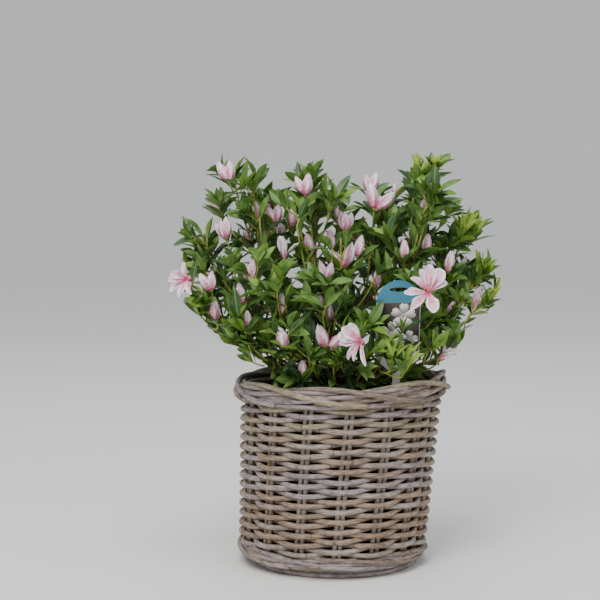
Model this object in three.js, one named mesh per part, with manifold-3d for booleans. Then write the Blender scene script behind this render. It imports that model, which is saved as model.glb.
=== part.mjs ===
// A potted azalea: a round basket of woven rattan with a dark liner full of soil, a short stem, boughs
// that spread from its head, and a crown of leafy sprays with striped buds and a few open flowers.
// Millimetres, +Z up. The origin is the centre of the basket's flat underside and -Y is the front.
import * as THREE from "three";
import { mergeVertices } from "three/addons/utils/BufferGeometryUtils.js";
import Module from "manifold-3d";

const wasm = await Module();
wasm.setup();

// Driving dimensions of the basket
const POT_HEIGHT = 311;
const RIM_RADIUS = 180;
const WEAVE_RADIUS_LOW = 157;
const WEAVE_RADIUS_HIGH = 166.5;
const BASE_RADIUS = 138.5;
const BASE_HEIGHT = 12;
const BASE_EDGE = 3;
const FOOT_BORDER_TOP = 39;
const RIM_BORDER_LOW = 271;
const FOOT_OFFSET = -5;
const POT_LEAN = 18;
const RIM_SLOPE = 0.03;
const GAP = 0.3;

// The weave: one rod that runs in front of one stake and behind the next, round after round
const STAKES = 15;
const STAKE_TURN = 0.5;
const STAKE_TWIST = 3.5;
const ROUNDS = 28;
const ROD_HEIGHT = 7.3;
const ROD_DEPTH = 6.6;
const STAKE_ROD_RADIUS = 3.5;
const STAKE_ROD_SPREAD = 3.9;
const STAKE_END_SHARE = 0.45;
const PASS_OUTSIDE = 9.2;
const PASS_INSIDE = 7.4;
const WALL_OUTSIDE = PASS_OUTSIDE + ROD_DEPTH / 2;
const WALL_INSIDE = PASS_INSIDE + ROD_DEPTH / 2;

// The plaited borders: an oval section of thick strands that winds round the basket
const RIM_BORDER = { width: 32, strands: 6, windings: 2, groove: 2.6 };
const FOOT_BORDER = { width: 24, strands: 4, windings: 2, groove: 2.4 };
const FOOT_BORDER_PROUD = 2;
const BORDER_STEPS = 2 * STAKES;

// Liner, soil and the short stem
const LINER_TOP = 286;
const LINER_WALL = 2;
const LINER_CLEAR = 0.8;
const ROUND_STEPS = 24;
const SOIL_TOP = 255;
const TRUNK_HEIGHT = 28;
const TRUNK_RADIUS = 17;
const TRUNK_FLARE = 29;
const TRUNK_HEAD = 27;
const TRUNK_ANKLE = { radius: 19, share: 0.3 };
const TRUNK_NARROWEST = 0.55;
const TRUNK_STEPS = 12;

// The boughs and the sprays that they carry. A spray is given by the place of its highest shoot tip:
// the azimuth from +X, the reach from the stem and the height above the ground.
const SPRAYS = [
  { name: "upper_left", azimuth: 176, reach: 176, height: 628, tip: "bud", seed: 10 },
  { name: "upper_mid_left", azimuth: -150, reach: 62, height: 612, tip: "bud", seed: 4 },
  { name: "upper_mid", azimuth: 4, reach: 56, height: 596, tip: "bud", seed: 9 },
  { name: "upper_right", azimuth: 8, reach: 146, height: 631, tip: "young", seed: 8 },
  { name: "high_right", azimuth: 12, reach: 207, height: 530, tip: "young", seed: 8 },
  { name: "far_right", azimuth: -4, reach: 218, height: 462, tip: "young", seed: 12 },
  { name: "high_left", azimuth: -176, reach: 224, height: 526, tip: "bud", seed: 10 },
  { name: "far_left", azimuth: -168, reach: 232, height: 450, tip: "open", seed: 10 },
  { name: "front_left", azimuth: -145, reach: 168, height: 478, tip: "bud", seed: 8 },
  { name: "front_mid", azimuth: -92, reach: 60, height: 535, tip: "bud", seed: 7 },
  { name: "front_centre", azimuth: -104, reach: 118, height: 458, tip: "bud", seed: 7 },
  { name: "front_right", azimuth: -41, reach: 166, height: 452, tip: "open", seed: 10 },
  { name: "low_left", azimuth: -152, reach: 186, height: 402, tip: "bud", seed: 5 },
  { name: "front_low_left", azimuth: -124, reach: 160, height: 386, tip: "bud", seed: 5 },
  { name: "front_low", azimuth: -84, reach: 146, height: 380, tip: "open", seed: 8 },
  { name: "low_right", azimuth: -24, reach: 192, height: 362, tip: "bud", seed: 3 },
  { name: "back_left", azimuth: 136, reach: 196, height: 535, tip: "bud", seed: 4 },
  { name: "back_mid", azimuth: 92, reach: 140, height: 562, tip: "bud", seed: 3 },
  { name: "back_right", azimuth: 48, reach: 188, height: 545, tip: "young", seed: 4 },
  { name: "back_low_left", azimuth: 146, reach: 198, height: 430, tip: "bud", seed: 6 },
  { name: "back_low_mid", azimuth: 98, reach: 190, height: 425, tip: "bud", seed: 8 },
  { name: "back_low_right", azimuth: 38, reach: 216, height: 418, tip: "bud", seed: 6 },
];
const INNER_REACH = 100;
const INNER_FOOT_RING = 9;
const OUTER_FOOT_RING = 22.5;
const INNER_FOOT_TURN = 20;
const OUTER_FOOT_TURN = 6;
const BOUGH_SHARE = 0.4;
const BOUGH_RADIUS = 3.1;
const BOUGH_TIP_RADIUS = 2.1;
const BOUGH_SIDES = 5;
const BOUGH_STEPS = 3;
const LIMB_STEPS = 10;

// The middle points of a limb's curve: near the stem, and at the bend from which it rises
const LIMB_START = { reach: 17, reachShare: 0.2, rise: 22, riseShare: 0.1 };
const LIMB_BEND = { reachShare: 0.8, riseShare: 0.5 };

// Shoots, leaves and blossom. A leaf stands for two or three of the plant's own.
const LEADER_RADIUS = 2.1;
const LEADER_STEPS = 3;
const SHOOT_RADII = [1.7, 1.3, 1.2];
const SHOOT_SPACING = 48;
const SHOOTS_LEAST = 3;
const SHOOT_SPAN = [0.12, 0.66];
const SHOOT_LEAN = [35, 60];
const SHOOT_SHARE = [0.7, 0.95];
const SHOOT_LEAST = 58;
const SHOOT_BEND = 0.4;
const SHOOT_RISING = { away: 0.55, up: 0.8 };
const SHOOT_TRIES = 14;
const TRY_TURN = 1.1;
const LEAF_STEP = 42;
const LEAF_SPAN = [0.12, 0.8];
const LEAF_LEAN = [45, 62];
const LEAF_SWAY = [-16, 16];
const LEAF_SIDES = 3;
const LEAF_SIZE = [0.8, 1.1];
const LEAF_LENGTH = 54;
const LEAF_WIDTH = 19;
const LEAF_THICKNESS = 1.8;
const LEAF_APART = 17;
const WHORL = 4;
const WHORL_STEP = 3.6;
const WHORL_LEAN = [32, 55];
const BUD_LENGTH = 36;
const BUD_RADIUS = 6;
const BUD_SIZE = [0.85, 1.1];
const BUD_SHARE = 0.55;
const BUD_LEAN = 8;
const PAIR_LEANS = [22, 24];
const BUD_SUNK = 0.8;
const PETALS = 5;
const PETAL_LENGTH = 38;
const PETAL_WIDTH = 17;
const PETAL_LEAN = 56;
const PETAL_TURN = 0.4;
const FLOWER_FACING = { out: 0.8, up: 0.45 };
const CALYX = { length: 12, radius: 3.2, sunk: 2 };
const BLADE_WIDEST = 0.46;
const GOLDEN_ANGLE = (137.5 * Math.PI) / 180;
const SPACE_MARGIN = 2;
const LIMB_MARGIN = 6;
const RIM_MARGIN = 7;

// The plant tag: a thin plate with an arched head, on a stem that stands in the soil and leans
// forward. Its heights are measured from the soil.
const TAG = { x: 94, y: -88, turn: 6, tilt: 9, width: 70, top: 220, shoulder: 184, waist: 92, thickness: 1 };
const TAG_STEM = { width: 12, low: -33, top: 68 };
const TAG_SLOT = { width: 30, height: 7, below: 15 };
const TAG_CLEAR = { face: 3, edge: 4, beside: 10, above: 8 };

const UP = new THREE.Vector3(0, 0, 1);

// Small helpers

function radians(degrees) {
  return (degrees * Math.PI) / 180;
}

function mix(a, b, share) {
  return a + (b - a) * share;
}

function within(range, share) {
  return mix(range[0], range[1], share);
}

function outward(angle) {
  return new THREE.Vector3(Math.cos(angle), Math.sin(angle), 0);
}

function along(point, direction, distance) {
  return point.clone().addScaledVector(direction, distance);
}

// A repeatable random number source, from 0 to 1.
function seededRandom(seed) {
  let state = seed;
  return () => {
    state = (Math.imul(state, 1664525) + 1013904223) >>> 0;
    return state / 2 ** 32;
  };
}

// The handmade wall stands a little askew on its base: it leans to the right, where the rim is higher.
function askew(x, y, z) {
  const share = z / POT_HEIGHT;
  return new THREE.Vector3(x + FOOT_OFFSET + POT_LEAN * share, y, z + RIM_SLOPE * x * share ** 3);
}

// The radius of the stakes' circle at a height.
function stakeCircle(z) {
  const share = (z - FOOT_BORDER_TOP) / (RIM_BORDER_LOW - FOOT_BORDER_TOP);
  return mix(WEAVE_RADIUS_LOW, WEAVE_RADIUS_HIGH, share) - WALL_OUTSIDE;
}

// The stakes are counted round from the front, and twist a little as they rise.
function stakeAngle(i, z) {
  return radians(STAKE_TURN - 90 + (STAKE_TWIST * z) / POT_HEIGHT) + (2 * Math.PI * i) / STAKES;
}

const PLANT_X = askew(0, 0, SOIL_TOP).x;
const RIM_CENTRE_X = askew(0, 0, POT_HEIGHT).x;

// Solids

// A closed skin over rings of equal length. An open row of rings is capped at both ends.
function skin(rings, closed = false, shift = 0) {
  const size = rings[0].length;
  const positions = rings.flat().flatMap((p) => [p.x, p.y, p.z]);
  const index = [];
  const bands = closed ? rings.length : rings.length - 1;
  for (let i = 0; i < bands; i++) {
    const wraps = i === rings.length - 1;
    const next = wraps ? 0 : i + 1;
    const offset = wraps ? shift : 0;
    for (let j = 0; j < size; j++) {
      const k = (j + 1) % size;
      const a = i * size + j;
      const b = i * size + k;
      const c = next * size + ((k + offset) % size);
      const d = next * size + ((j + offset) % size);
      index.push(a, b, c, a, c, d);
    }
  }
  if (!closed) {
    const last = (rings.length - 1) * size;
    for (let j = 1; j < size - 1; j++) {
      index.push(0, j + 1, j);
      index.push(last, last + j, last + j + 1);
    }
  }
  const geometry = new THREE.BufferGeometry();
  geometry.setAttribute("position", new THREE.Float32BufferAttribute(positions, 3));
  geometry.setIndex(index);
  return geometry;
}

// A tapering limb along points: rings that follow the path without twisting. Its two end faces may be
// given headings of their own, so that they lie flat against what the limb grows from or carries.
function limbGeometry(points, radii, sides, footHeading, tipHeading) {
  const last = points.length - 1;
  const headings = points.map((_, i) => {
    const before = points[Math.max(0, i - 1)];
    return points[Math.min(last, i + 1)].clone().sub(before).normalize();
  });
  headings[0] = footHeading ?? headings[0];
  headings[last] = tipHeading ?? headings[last];
  let across = Math.abs(headings[0].x) < 0.8 ? new THREE.Vector3(1, 0, 0) : UP;
  const rings = points.map((point, i) => {
    const ahead = headings[i];
    across = across.clone().addScaledVector(ahead, -across.dot(ahead)).normalize();
    const up = ahead.clone().cross(across);
    const ring = [];
    for (let j = 0; j < sides; j++) {
      const angle = (2 * Math.PI * j) / sides;
      ring.push(along(along(point, across, radii[i] * Math.cos(angle)), up, radii[i] * Math.sin(angle)));
    }
    return ring;
  });
  return skin(rings);
}

function toSolid(geometry) {
  const bare = geometry.clone();
  bare.deleteAttribute("normal");
  bare.deleteAttribute("uv");
  const merged = mergeVertices(bare, 1e-4);
  return new wasm.Manifold(
    new wasm.Mesh({
      numProp: 3,
      vertProperties: new Float32Array(merged.attributes.position.array),
      triVerts: new Uint32Array(merged.index.array),
    }),
  );
}

function toGeometry(solid) {
  const mesh = solid.getMesh();
  const geometry = new THREE.BufferGeometry();
  geometry.setAttribute("position", new THREE.BufferAttribute(mesh.vertProperties.slice(), 3));
  geometry.setIndex(new THREE.BufferAttribute(mesh.triVerts.slice(), 1));
  return geometry;
}

function fuse(geometries) {
  return toGeometry(geometries.map(toSolid).reduce((whole, piece) => whole.add(piece)));
}

function cut(geometry, tool) {
  return toGeometry(toSolid(geometry).subtract(toSolid(tool)));
}

function moved(geometry, place) {
  const position = geometry.getAttribute("position");
  for (let i = 0; i < position.count; i++) {
    const p = place(position.getX(i), position.getY(i), position.getZ(i));
    position.setXYZ(i, p.x, p.y, p.z);
  }
  return geometry;
}

// A turned solid about the basket's axis: the profile holds [radius, height] from the axis to the axis.
function turned(profile, steps = ROUND_STEPS) {
  const geometry = new THREE.LatheGeometry(profile.map(([r, z]) => new THREE.Vector2(r, z)), steps);
  return geometry.rotateX(Math.PI / 2);
}

// The basket

// The base is a flat round panel that the whole basket stands on.
function basketBase() {
  return turned([
    [0, 0],
    [BASE_RADIUS - BASE_EDGE, 0],
    [BASE_RADIUS, BASE_EDGE],
    [BASE_RADIUS, BASE_HEIGHT - GAP],
    [0, BASE_HEIGHT - GAP],
  ]);
}

// One weaver winds up the wall, outside one stake and inside the next; the odd number of stakes makes
// each round pass the other way from the round below. Its section is a ridge that faces outward.
function basketWeave() {
  const low = FOOT_BORDER_TOP + GAP + ROD_HEIGHT / 2;
  const high = RIM_BORDER_LOW - GAP - ROD_HEIGHT / 2;
  const passes = STAKES * ROUNDS;
  const rings = [];
  for (let i = 0; i <= passes; i++) {
    const z = mix(low, high, i / passes);
    const pass = i % 2 === 0 ? PASS_OUTSIDE : -PASS_INSIDE;
    const radius = stakeCircle(z) + pass;
    const angle = stakeAngle(i + Math.floor(STAKES / 2), z);
    const corners = [
      [-ROD_DEPTH / 2, ROD_HEIGHT / 2],
      [ROD_DEPTH / 2, 0],
      [-ROD_DEPTH / 2, -ROD_HEIGHT / 2],
    ];
    rings.push(
      corners.map(([out, rise]) => {
        const p = outward(angle).multiplyScalar(radius + out);
        return askew(p.x, p.y, z + rise);
      }),
    );
  }
  return skin(rings);
}

// A plaited border: the strands show as lobes of an oval section that winds as it goes round.
function borderGeometry(border, radius, low, high) {
  const lobes = 2 * border.strands;
  const rings = [];
  for (let i = 0; i < BORDER_STEPS; i++) {
    const angle = (2 * Math.PI * i) / BORDER_STEPS;
    const winding = border.windings * angle;
    const ring = [];
    for (let j = 0; j < lobes; j++) {
      const turn = (2 * Math.PI * j) / lobes - winding;
      const depth = j % 2 === 0 ? 0 : border.groove;
      const out = (border.width / 2 - depth) * Math.cos(turn);
      const rise = ((high - low) / 2 - depth) * Math.sin(turn);
      const p = outward(angle).multiplyScalar(radius + out);
      ring.push(askew(p.x, p.y, (low + high) / 2 + rise));
    }
    rings.push(ring);
  }
  return skin(rings.map((ring) => ring.reverse()), true);
}

// Each stake is a pair of upright rods, and their upper ends are plaited into the rim border.
function stakesAndRim() {
  const ringRadius = RIM_RADIUS - RIM_BORDER.width / 2;
  const pieces = [borderGeometry(RIM_BORDER, ringRadius, RIM_BORDER_LOW, POT_HEIGHT)];
  const foot = FOOT_BORDER_TOP + GAP;
  const heights = [foot, mix(RIM_BORDER_LOW, POT_HEIGHT, STAKE_END_SHARE)];
  for (let i = 0; i < STAKES; i++) {
    for (const side of [-1, 1]) {
      const rings = heights.map((z) => {
        const angle = stakeAngle(i, z);
        const sideways = outward(angle + Math.PI / 2).multiplyScalar(side * STAKE_ROD_SPREAD);
        const centre = outward(angle).multiplyScalar(stakeCircle(z)).add(sideways);
        return [0, 1, 2].map((corner) => {
          const p = along(centre, outward(angle + (2 * Math.PI * corner) / 3), STAKE_ROD_RADIUS);
          return askew(p.x, p.y, z);
        });
      });
      pieces.push(skin(rings));
    }
  }
  return fuse(pieces);
}

function footBorder() {
  const radius = WEAVE_RADIUS_LOW + FOOT_BORDER_PROUD - FOOT_BORDER.width / 2;
  return borderGeometry(FOOT_BORDER, radius, BASE_HEIGHT, FOOT_BORDER_TOP);
}

// The liner is a plain dark cup inside the weave, and the soil fills it.
function linerRadius(z) {
  return stakeCircle(z) - WALL_INSIDE - LINER_CLEAR;
}

function potLiner() {
  const low = BASE_HEIGHT;
  const profile = [
    [0, low],
    [linerRadius(low), low],
    [linerRadius(LINER_TOP), LINER_TOP],
    [linerRadius(LINER_TOP) - LINER_WALL, LINER_TOP],
    [linerRadius(low + LINER_WALL) - LINER_WALL, low + LINER_WALL],
    [0, low + LINER_WALL],
  ];
  return moved(turned(profile), askew);
}

function tagFrame() {
  const turn = new THREE.Euler(radians(TAG.tilt), 0, radians(TAG.turn), "ZYX");
  return new THREE.Matrix4().makeRotationFromEuler(turn).setPosition(TAG.x, TAG.y, SOIL_TOP);
}

// The soil has a slot in which the stem of the tag stands.
function soil() {
  const low = BASE_HEIGHT + LINER_WALL + GAP;
  const inset = LINER_WALL + 2 * GAP;
  const profile = [
    [0, low],
    [linerRadius(low) - inset, low],
    [linerRadius(SOIL_TOP) - inset, SOIL_TOP],
    [0, SOIL_TOP],
  ];
  const fill = moved(turned(profile), (x, y, z) => askew(x, y, z).setZ(z));
  const slotHeight = 2 * (GAP - TAG_STEM.low);
  const slot = new THREE.BoxGeometry(TAG_STEM.width + 2 * GAP, TAG.thickness + 2 * GAP, slotHeight);
  return cut(fill, slot.applyMatrix4(tagFrame()));
}

// The plant

// The short stem flares at the soil and again at its head, where the boughs stand.
function trunk() {
  const low = SOIL_TOP + GAP;
  const high = low + TRUNK_HEIGHT;
  const profile = [
    [0, low],
    [TRUNK_FLARE, low],
    [TRUNK_ANKLE.radius, mix(low, high, TRUNK_ANKLE.share)],
    [TRUNK_RADIUS, mix(low, high, TRUNK_NARROWEST)],
    [TRUNK_HEAD, high],
    [0, high],
  ];
  return turned(profile, TRUNK_STEPS).translate(PLANT_X, 0, 0);
}

// The boughs stand in two rings on the stem's head, in the order of their azimuths.
function footOf(spray) {
  const inner = spray.reach < INNER_REACH;
  const ring = SPRAYS.filter((other) => other.reach < INNER_REACH === inner);
  const sorted = ring.toSorted((a, b) => a.azimuth - b.azimuth);
  const place = sorted.indexOf(spray) / sorted.length;
  const angle = radians(-180) + 2 * Math.PI * place + radians(inner ? INNER_FOOT_TURN : OUTER_FOOT_TURN);
  const radius = inner ? INNER_FOOT_RING : OUTER_FOOT_RING;
  const head = new THREE.Vector3(PLANT_X, 0, SOIL_TOP + TRUNK_HEIGHT + 2 * GAP);
  return along(head, outward(angle), radius);
}

// A limb runs outward over the rim and then rises to the tip of its spray. Its first part is the bough
// and the rest is the leader of the spray.
function limbCurve(spray) {
  const foot = footOf(spray);
  const out = outward(radians(spray.azimuth));
  const rise = spray.height - foot.z;
  const place = (reach, height) => along(new THREE.Vector3(PLANT_X, 0, foot.z + height), out, reach);
  const startReach = LIMB_START.reach + LIMB_START.reachShare * spray.reach;
  const startRise = LIMB_START.rise + LIMB_START.riseShare * rise;
  return new THREE.CubicBezierCurve3(
    foot,
    place(startReach, startRise),
    place(LIMB_BEND.reachShare * spray.reach, LIMB_BEND.riseShare * rise),
    place(spray.reach, rise),
  );
}

// The pace of a curve is how far it moves for a small step of its parameter.
function paceAt(curve, t) {
  const step = 1e-4;
  return curve.getPoint(t + step).sub(curve.getPoint(t)).divideScalar(step);
}

function headingAt(curve, t) {
  return paceAt(curve, t).normalize();
}

function curvePoints(curve, from, to, steps) {
  const points = [];
  for (let i = 0; i <= steps; i++) points.push(curve.getPoint(mix(from, to, i / steps)));
  return points;
}

function boughGeometry(spray) {
  const points = curvePoints(spray.curve, 0, BOUGH_SHARE, BOUGH_STEPS);
  const radii = points.map((_, i) => mix(BOUGH_RADIUS, BOUGH_TIP_RADIUS, i / BOUGH_STEPS));
  return limbGeometry(points, radii, BOUGH_SIDES, UP, headingAt(spray.curve, BOUGH_SHARE));
}

function pathLength(path) {
  return path.slice(1).reduce((sum, point, i) => sum + point.distanceTo(path[i]), 0);
}

// The place and the heading at a share of the length of a row of points joined by straight lines.
function onPath(path, share) {
  let left = share * pathLength(path);
  let i = 0;
  while (i < path.length - 2 && left > path[i + 1].distanceTo(path[i])) {
    left -= path[i + 1].distanceTo(path[i]);
    i++;
  }
  const axis = path[i + 1].clone().sub(path[i]).normalize();
  return { point: along(path[i], axis, left), axis };
}

// Distance from a point to a row of points joined by straight lines.
const segment = new THREE.Line3();
const nearest = new THREE.Vector3();
function distanceToPath(point, path) {
  let best = Infinity;
  for (let i = 0; i < path.length - 1; i++) {
    segment.set(path[i], path[i + 1]).closestPointToPoint(point, true, nearest);
    best = Math.min(best, nearest.distanceTo(point));
  }
  return best;
}

function clearOfPot(point) {
  const radius = Math.hypot(point.x - RIM_CENTRE_X, point.y);
  const overRim = point.z > POT_HEIGHT + RIM_MARGIN;
  const insideRim = radius < RIM_RADIUS - RIM_BORDER.width - RIM_MARGIN && point.z > SOIL_TOP + RIM_MARGIN;
  return overRim || insideRim;
}

// A straight piece of leaf or twig may not pass through the tag or brush against it.
const TAG_INVERSE = tagFrame().invert();
function clearOfTag(from, to) {
  const a = from.clone().applyMatrix4(TAG_INVERSE);
  const b = to.clone().applyMatrix4(TAG_INVERSE);
  const beside = (p, margin) => Math.abs(p.x) > TAG.width / 2 + margin;
  const above = (p, margin) => p.z > TAG.top + margin;
  const far = (p) => Math.abs(p.y) > TAG_CLEAR.face || beside(p, TAG_CLEAR.edge) || above(p, TAG_CLEAR.edge);
  if (!far(a) || !far(b)) return false;
  if (a.y * b.y > 0) return true;
  const crossing = a.lerp(b, Math.abs(a.y) / (Math.abs(a.y) + Math.abs(b.y)));
  return beside(crossing, TAG_CLEAR.beside) || above(crossing, TAG_CLEAR.above);
}

// Each spray keeps to the space that lies nearer to its own limb than to any other.
function inOwnSpace(point, spray) {
  const own = distanceToPath(point, spray.path);
  const others = SPRAYS.filter((other) => other !== spray);
  const other = Math.min(...others.map((one) => distanceToPath(point, one.path)));
  const fromBough = distanceToPath(point, spray.boughPath);
  return other > Math.max(own + SPACE_MARGIN, LIMB_MARGIN) && fromBough > LIMB_MARGIN;
}

// A path from a twig fits where it stays clear of the tag, the pot and all other sprays and boughs.
function fits(path, spray) {
  return path.slice(1).every((p, i) => clearOfTag(path[i], p) && clearOfPot(p) && inOwnSpace(p, spray));
}

// A direction that leans away from an axis by an angle, turned about it by another.
function leaning(axis, lean, turn) {
  const side = new THREE.Vector3(0, 1, 0).cross(axis).normalize();
  const front = axis.clone().cross(side);
  const away = side.multiplyScalar(Math.cos(turn)).addScaledVector(front, Math.sin(turn));
  return axis.clone().multiplyScalar(Math.cos(lean)).addScaledVector(away, Math.sin(lean)).normalize();
}

// A pointed body from its root to its tip round a ring of corners.
function spindle(root, ring, tip) {
  const positions = [root, tip, ...ring].flatMap((p) => [p.x, p.y, p.z]);
  const index = [];
  for (let j = 0; j < ring.length; j++) {
    const a = 2 + j;
    const b = 2 + ((j + 1) % ring.length);
    index.push(0, a, b, 1, b, a);
  }
  const geometry = new THREE.BufferGeometry();
  geometry.setAttribute("position", new THREE.Float32BufferAttribute(positions, 3));
  geometry.setIndex(index);
  return geometry;
}

// A leaf or petal is flat above with a keel below; a bud is three-sided and full.
const FLAT_CORNERS = [[1, 0], [0, -1], [-1, 0]];
const ROUND_CORNERS = [[0.87, -0.5], [-0.87, -0.5], [0, 1]];
function bladeGeometry(blade) {
  const across = blade.normal.clone().cross(blade.direction).normalize();
  const face = blade.direction.clone().cross(across);
  const corners = blade.thickness > LEAF_THICKNESS ? ROUND_CORNERS : FLAT_CORNERS;
  const ring = corners.map(([side, above]) => {
    const corner = along(bladeMiddle(blade), across, (side * blade.width) / 2);
    return along(corner, face, (above * blade.thickness) / 2);
  });
  return spindle(blade.root, ring, along(blade.root, blade.direction, blade.length));
}

function bladeMiddle(blade) {
  return along(blade.root, blade.direction, BLADE_WIDEST * blade.length);
}

function bladeOutline(blade) {
  const across = blade.direction.clone().cross(blade.normal).normalize();
  const middle = bladeMiddle(blade);
  const tip = along(blade.root, blade.direction, blade.length);
  const sides = [0.5, -0.5].map((side) => along(middle, across, side * blade.width));
  return [blade.root, sides[0], tip, sides[1], middle];
}

function makeLeaf(point, axis, lean, turn, random) {
  const direction = leaning(axis, lean, turn);
  const length = LEAF_LENGTH * within(LEAF_SIZE, random());
  return { root: point, direction, normal: axis, length, width: LEAF_WIDTH, thickness: LEAF_THICKNESS };
}

// Leaves stand alternately along the upper part of a shoot and in a whorl round its tip.
function shootLeaves(shoot, spray, random) {
  const phase = Math.floor(LEAF_SIDES * random());
  const sideTurn = (i) => radians((360 * (phase + i + 0.5)) / LEAF_SIDES + within(LEAF_SWAY, random()));
  const leaves = [];
  const count = Math.floor(((1 - LEAF_SPAN[0]) * pathLength(shoot.points)) / LEAF_STEP);
  for (let i = 0; i < count; i++) {
    const { point, axis } = onPath(shoot.points, within(LEAF_SPAN, i / count));
    const lean = radians(within(LEAF_LEAN, random()));
    leaves.push(makeLeaf(point, axis, lean, sideTurn(i), random));
  }
  const { point: tip, axis } = onPath(shoot.points, 1);
  for (let i = 0; i < WHORL; i++) {
    const root = along(tip, axis, -(i + 1) * WHORL_STEP);
    const lean = radians(within(WHORL_LEAN, random()));
    leaves.push(makeLeaf(root, axis, lean, sideTurn(i + count), random));
  }
  return leaves.filter((leaf) => fits(bladeOutline(leaf), spray));
}

function makeBud(tip, axis, lean, turn, random) {
  const length = BUD_LENGTH * within(BUD_SIZE, random());
  const direction = leaning(axis, lean, turn);
  const root = along(tip, axis, -BUD_SUNK);
  const size = { length, width: 2 * BUD_RADIUS, thickness: 2 * BUD_RADIUS };
  return { root, direction, normal: leaning(axis, Math.PI / 2, turn), ...size };
}

// One bud or a pair of them at the tip of a shoot.
function shootBuds(shoot, spray, random) {
  const { point: tip, axis } = onPath(shoot.points, 1);
  const roll = random();
  if (spray.tip === "young" || roll > BUD_SHARE) return [];
  const turn = 2 * Math.PI * random();
  const pair = roll < BUD_SHARE / 3;
  const buds = [makeBud(tip, axis, radians(pair ? PAIR_LEANS[0] : BUD_LEAN), turn, random)];
  if (pair) buds.push(makeBud(tip, axis, radians(PAIR_LEANS[1]), turn + Math.PI, random));
  return buds.filter((bud) => fits(bladeOutline(bud), spray));
}

// An open flower faces outward from the crown, with its petals spread round the tip.
function openFlower(spray) {
  const tip = onPath(spray.leader, 1).point;
  const out = outward(radians(spray.azimuth)).multiplyScalar(FLOWER_FACING.out);
  const facing = along(out, UP, FLOWER_FACING.up).normalize();
  const size = { length: PETAL_LENGTH, width: PETAL_WIDTH, thickness: LEAF_THICKNESS };
  const petals = [];
  for (let i = 0; i < PETALS; i++) {
    const direction = leaning(facing, radians(PETAL_LEAN), (2 * Math.PI * i) / PETALS + PETAL_TURN);
    const root = along(along(tip, facing, CALYX.length / 2), direction, 1);
    petals.push({ root, direction, normal: facing, ...size });
  }
  const root = along(tip, facing, -CALYX.sunk);
  const calyx = { length: CALYX.length, width: 2 * CALYX.radius, thickness: 2 * CALYX.radius };
  return [...petals, { root, direction: facing, normal: leaning(facing, Math.PI / 2, 0), ...calyx }];
}

// A side shoot leaves the leader at a slant and bends up towards the light.
function sideShoot(spray, share, turn, random) {
  const { point: start, axis } = onPath(spray.leader, share);
  const away = leaning(axis, radians(within(SHOOT_LEAN, random())), turn);
  const rising = along(away.clone().multiplyScalar(SHOOT_RISING.away), UP, SHOOT_RISING.up).normalize();
  const leaderLeft = pathLength(spray.leader) * (1 - share);
  const length = Math.max(SHOOT_LEAST, leaderLeft * within(SHOOT_SHARE, random()));
  const bend = along(start, away, SHOOT_BEND * length);
  const tip = along(bend, rising, (1 - SHOOT_BEND) * length);
  return { points: [start, bend, tip], radii: SHOOT_RADII };
}

function growSpray(spray) {
  const random = seededRandom(spray.seed);
  spray.leader = curvePoints(spray.curve, spray.leaderFrom, 1, LEADER_STEPS);
  const leaderRadii = spray.leader.map((_, i) => mix(LEADER_RADIUS, SHOOT_RADII[2], i / LEADER_STEPS));
  const footHeading = headingAt(spray.curve, spray.leaderFrom);
  const shoots = [{ points: spray.leader, radii: leaderRadii, footHeading }];
  const count = Math.max(SHOOTS_LEAST, Math.round(pathLength(spray.leader) / SHOOT_SPACING));
  for (let i = 0; i < count; i++) {
    const share = within(SHOOT_SPAN, i / count);
    for (let attempt = 0; attempt < SHOOT_TRIES; attempt++) {
      const turn = (i + 1) * GOLDEN_ANGLE + attempt * TRY_TURN + random();
      const shoot = sideShoot(spray, share, turn, random);
      if (!fits(shoot.points, spray)) continue;
      shoots.push(shoot);
      break;
    }
  }
  const blades = [];
  for (const leaf of shoots.flatMap((shoot) => shootLeaves(shoot, spray, random))) {
    const middle = bladeMiddle(leaf);
    if (blades.every((other) => bladeMiddle(other).distanceTo(middle) > LEAF_APART)) blades.push(leaf);
  }
  const budding = spray.tip === "open" ? shoots.slice(1) : shoots;
  blades.push(...budding.flatMap((shoot) => shootBuds(shoot, spray, random)));
  if (spray.tip === "open") blades.push(...openFlower(spray));
  return { shoots, blades };
}

function sprayGeometry(spray) {
  const { shoots, blades } = growSpray(spray);
  return fuse([
    ...shoots.map((shoot) => limbGeometry(shoot.points, shoot.radii, 3, shoot.footHeading)),
    ...blades.map(bladeGeometry),
  ]);
}

// The tag
function plantTag() {
  const half = TAG.width / 2;
  const outline = new THREE.Shape();
  outline.moveTo(-TAG_STEM.width / 2, TAG_STEM.low);
  outline.lineTo(TAG_STEM.width / 2, TAG_STEM.low);
  outline.lineTo(TAG_STEM.width / 2, TAG_STEM.top);
  outline.lineTo(half, TAG.waist);
  outline.lineTo(half, TAG.shoulder);
  outline.absellipse(0, TAG.shoulder, half, TAG.top - TAG.shoulder, 0, Math.PI, false);
  outline.lineTo(-half, TAG.waist);
  outline.lineTo(-TAG_STEM.width / 2, TAG_STEM.top);
  const slot = new THREE.Path();
  const slotHeight = TAG.top - TAG_SLOT.below;
  slot.absellipse(0, slotHeight, TAG_SLOT.width / 2, TAG_SLOT.height / 2, 0, 2 * Math.PI, true);
  outline.holes.push(slot);
  const options = { depth: TAG.thickness, bevelEnabled: false, curveSegments: 8 };
  const plate = new THREE.ExtrudeGeometry(outline, options);
  return plate.rotateX(Math.PI / 2).translate(0, TAG.thickness / 2, 0).applyMatrix4(tagFrame());
}

// Colours and the finished group

function material(color, roughness) {
  return new THREE.MeshStandardMaterial({ color, roughness, metalness: 0 });
}

const group = new THREE.Group();
group.name = "potted_azalea";

function add(name, geometry, color, roughness) {
  const mesh = new THREE.Mesh(geometry, material(color, roughness));
  mesh.name = name;
  group.add(mesh);
}

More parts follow.
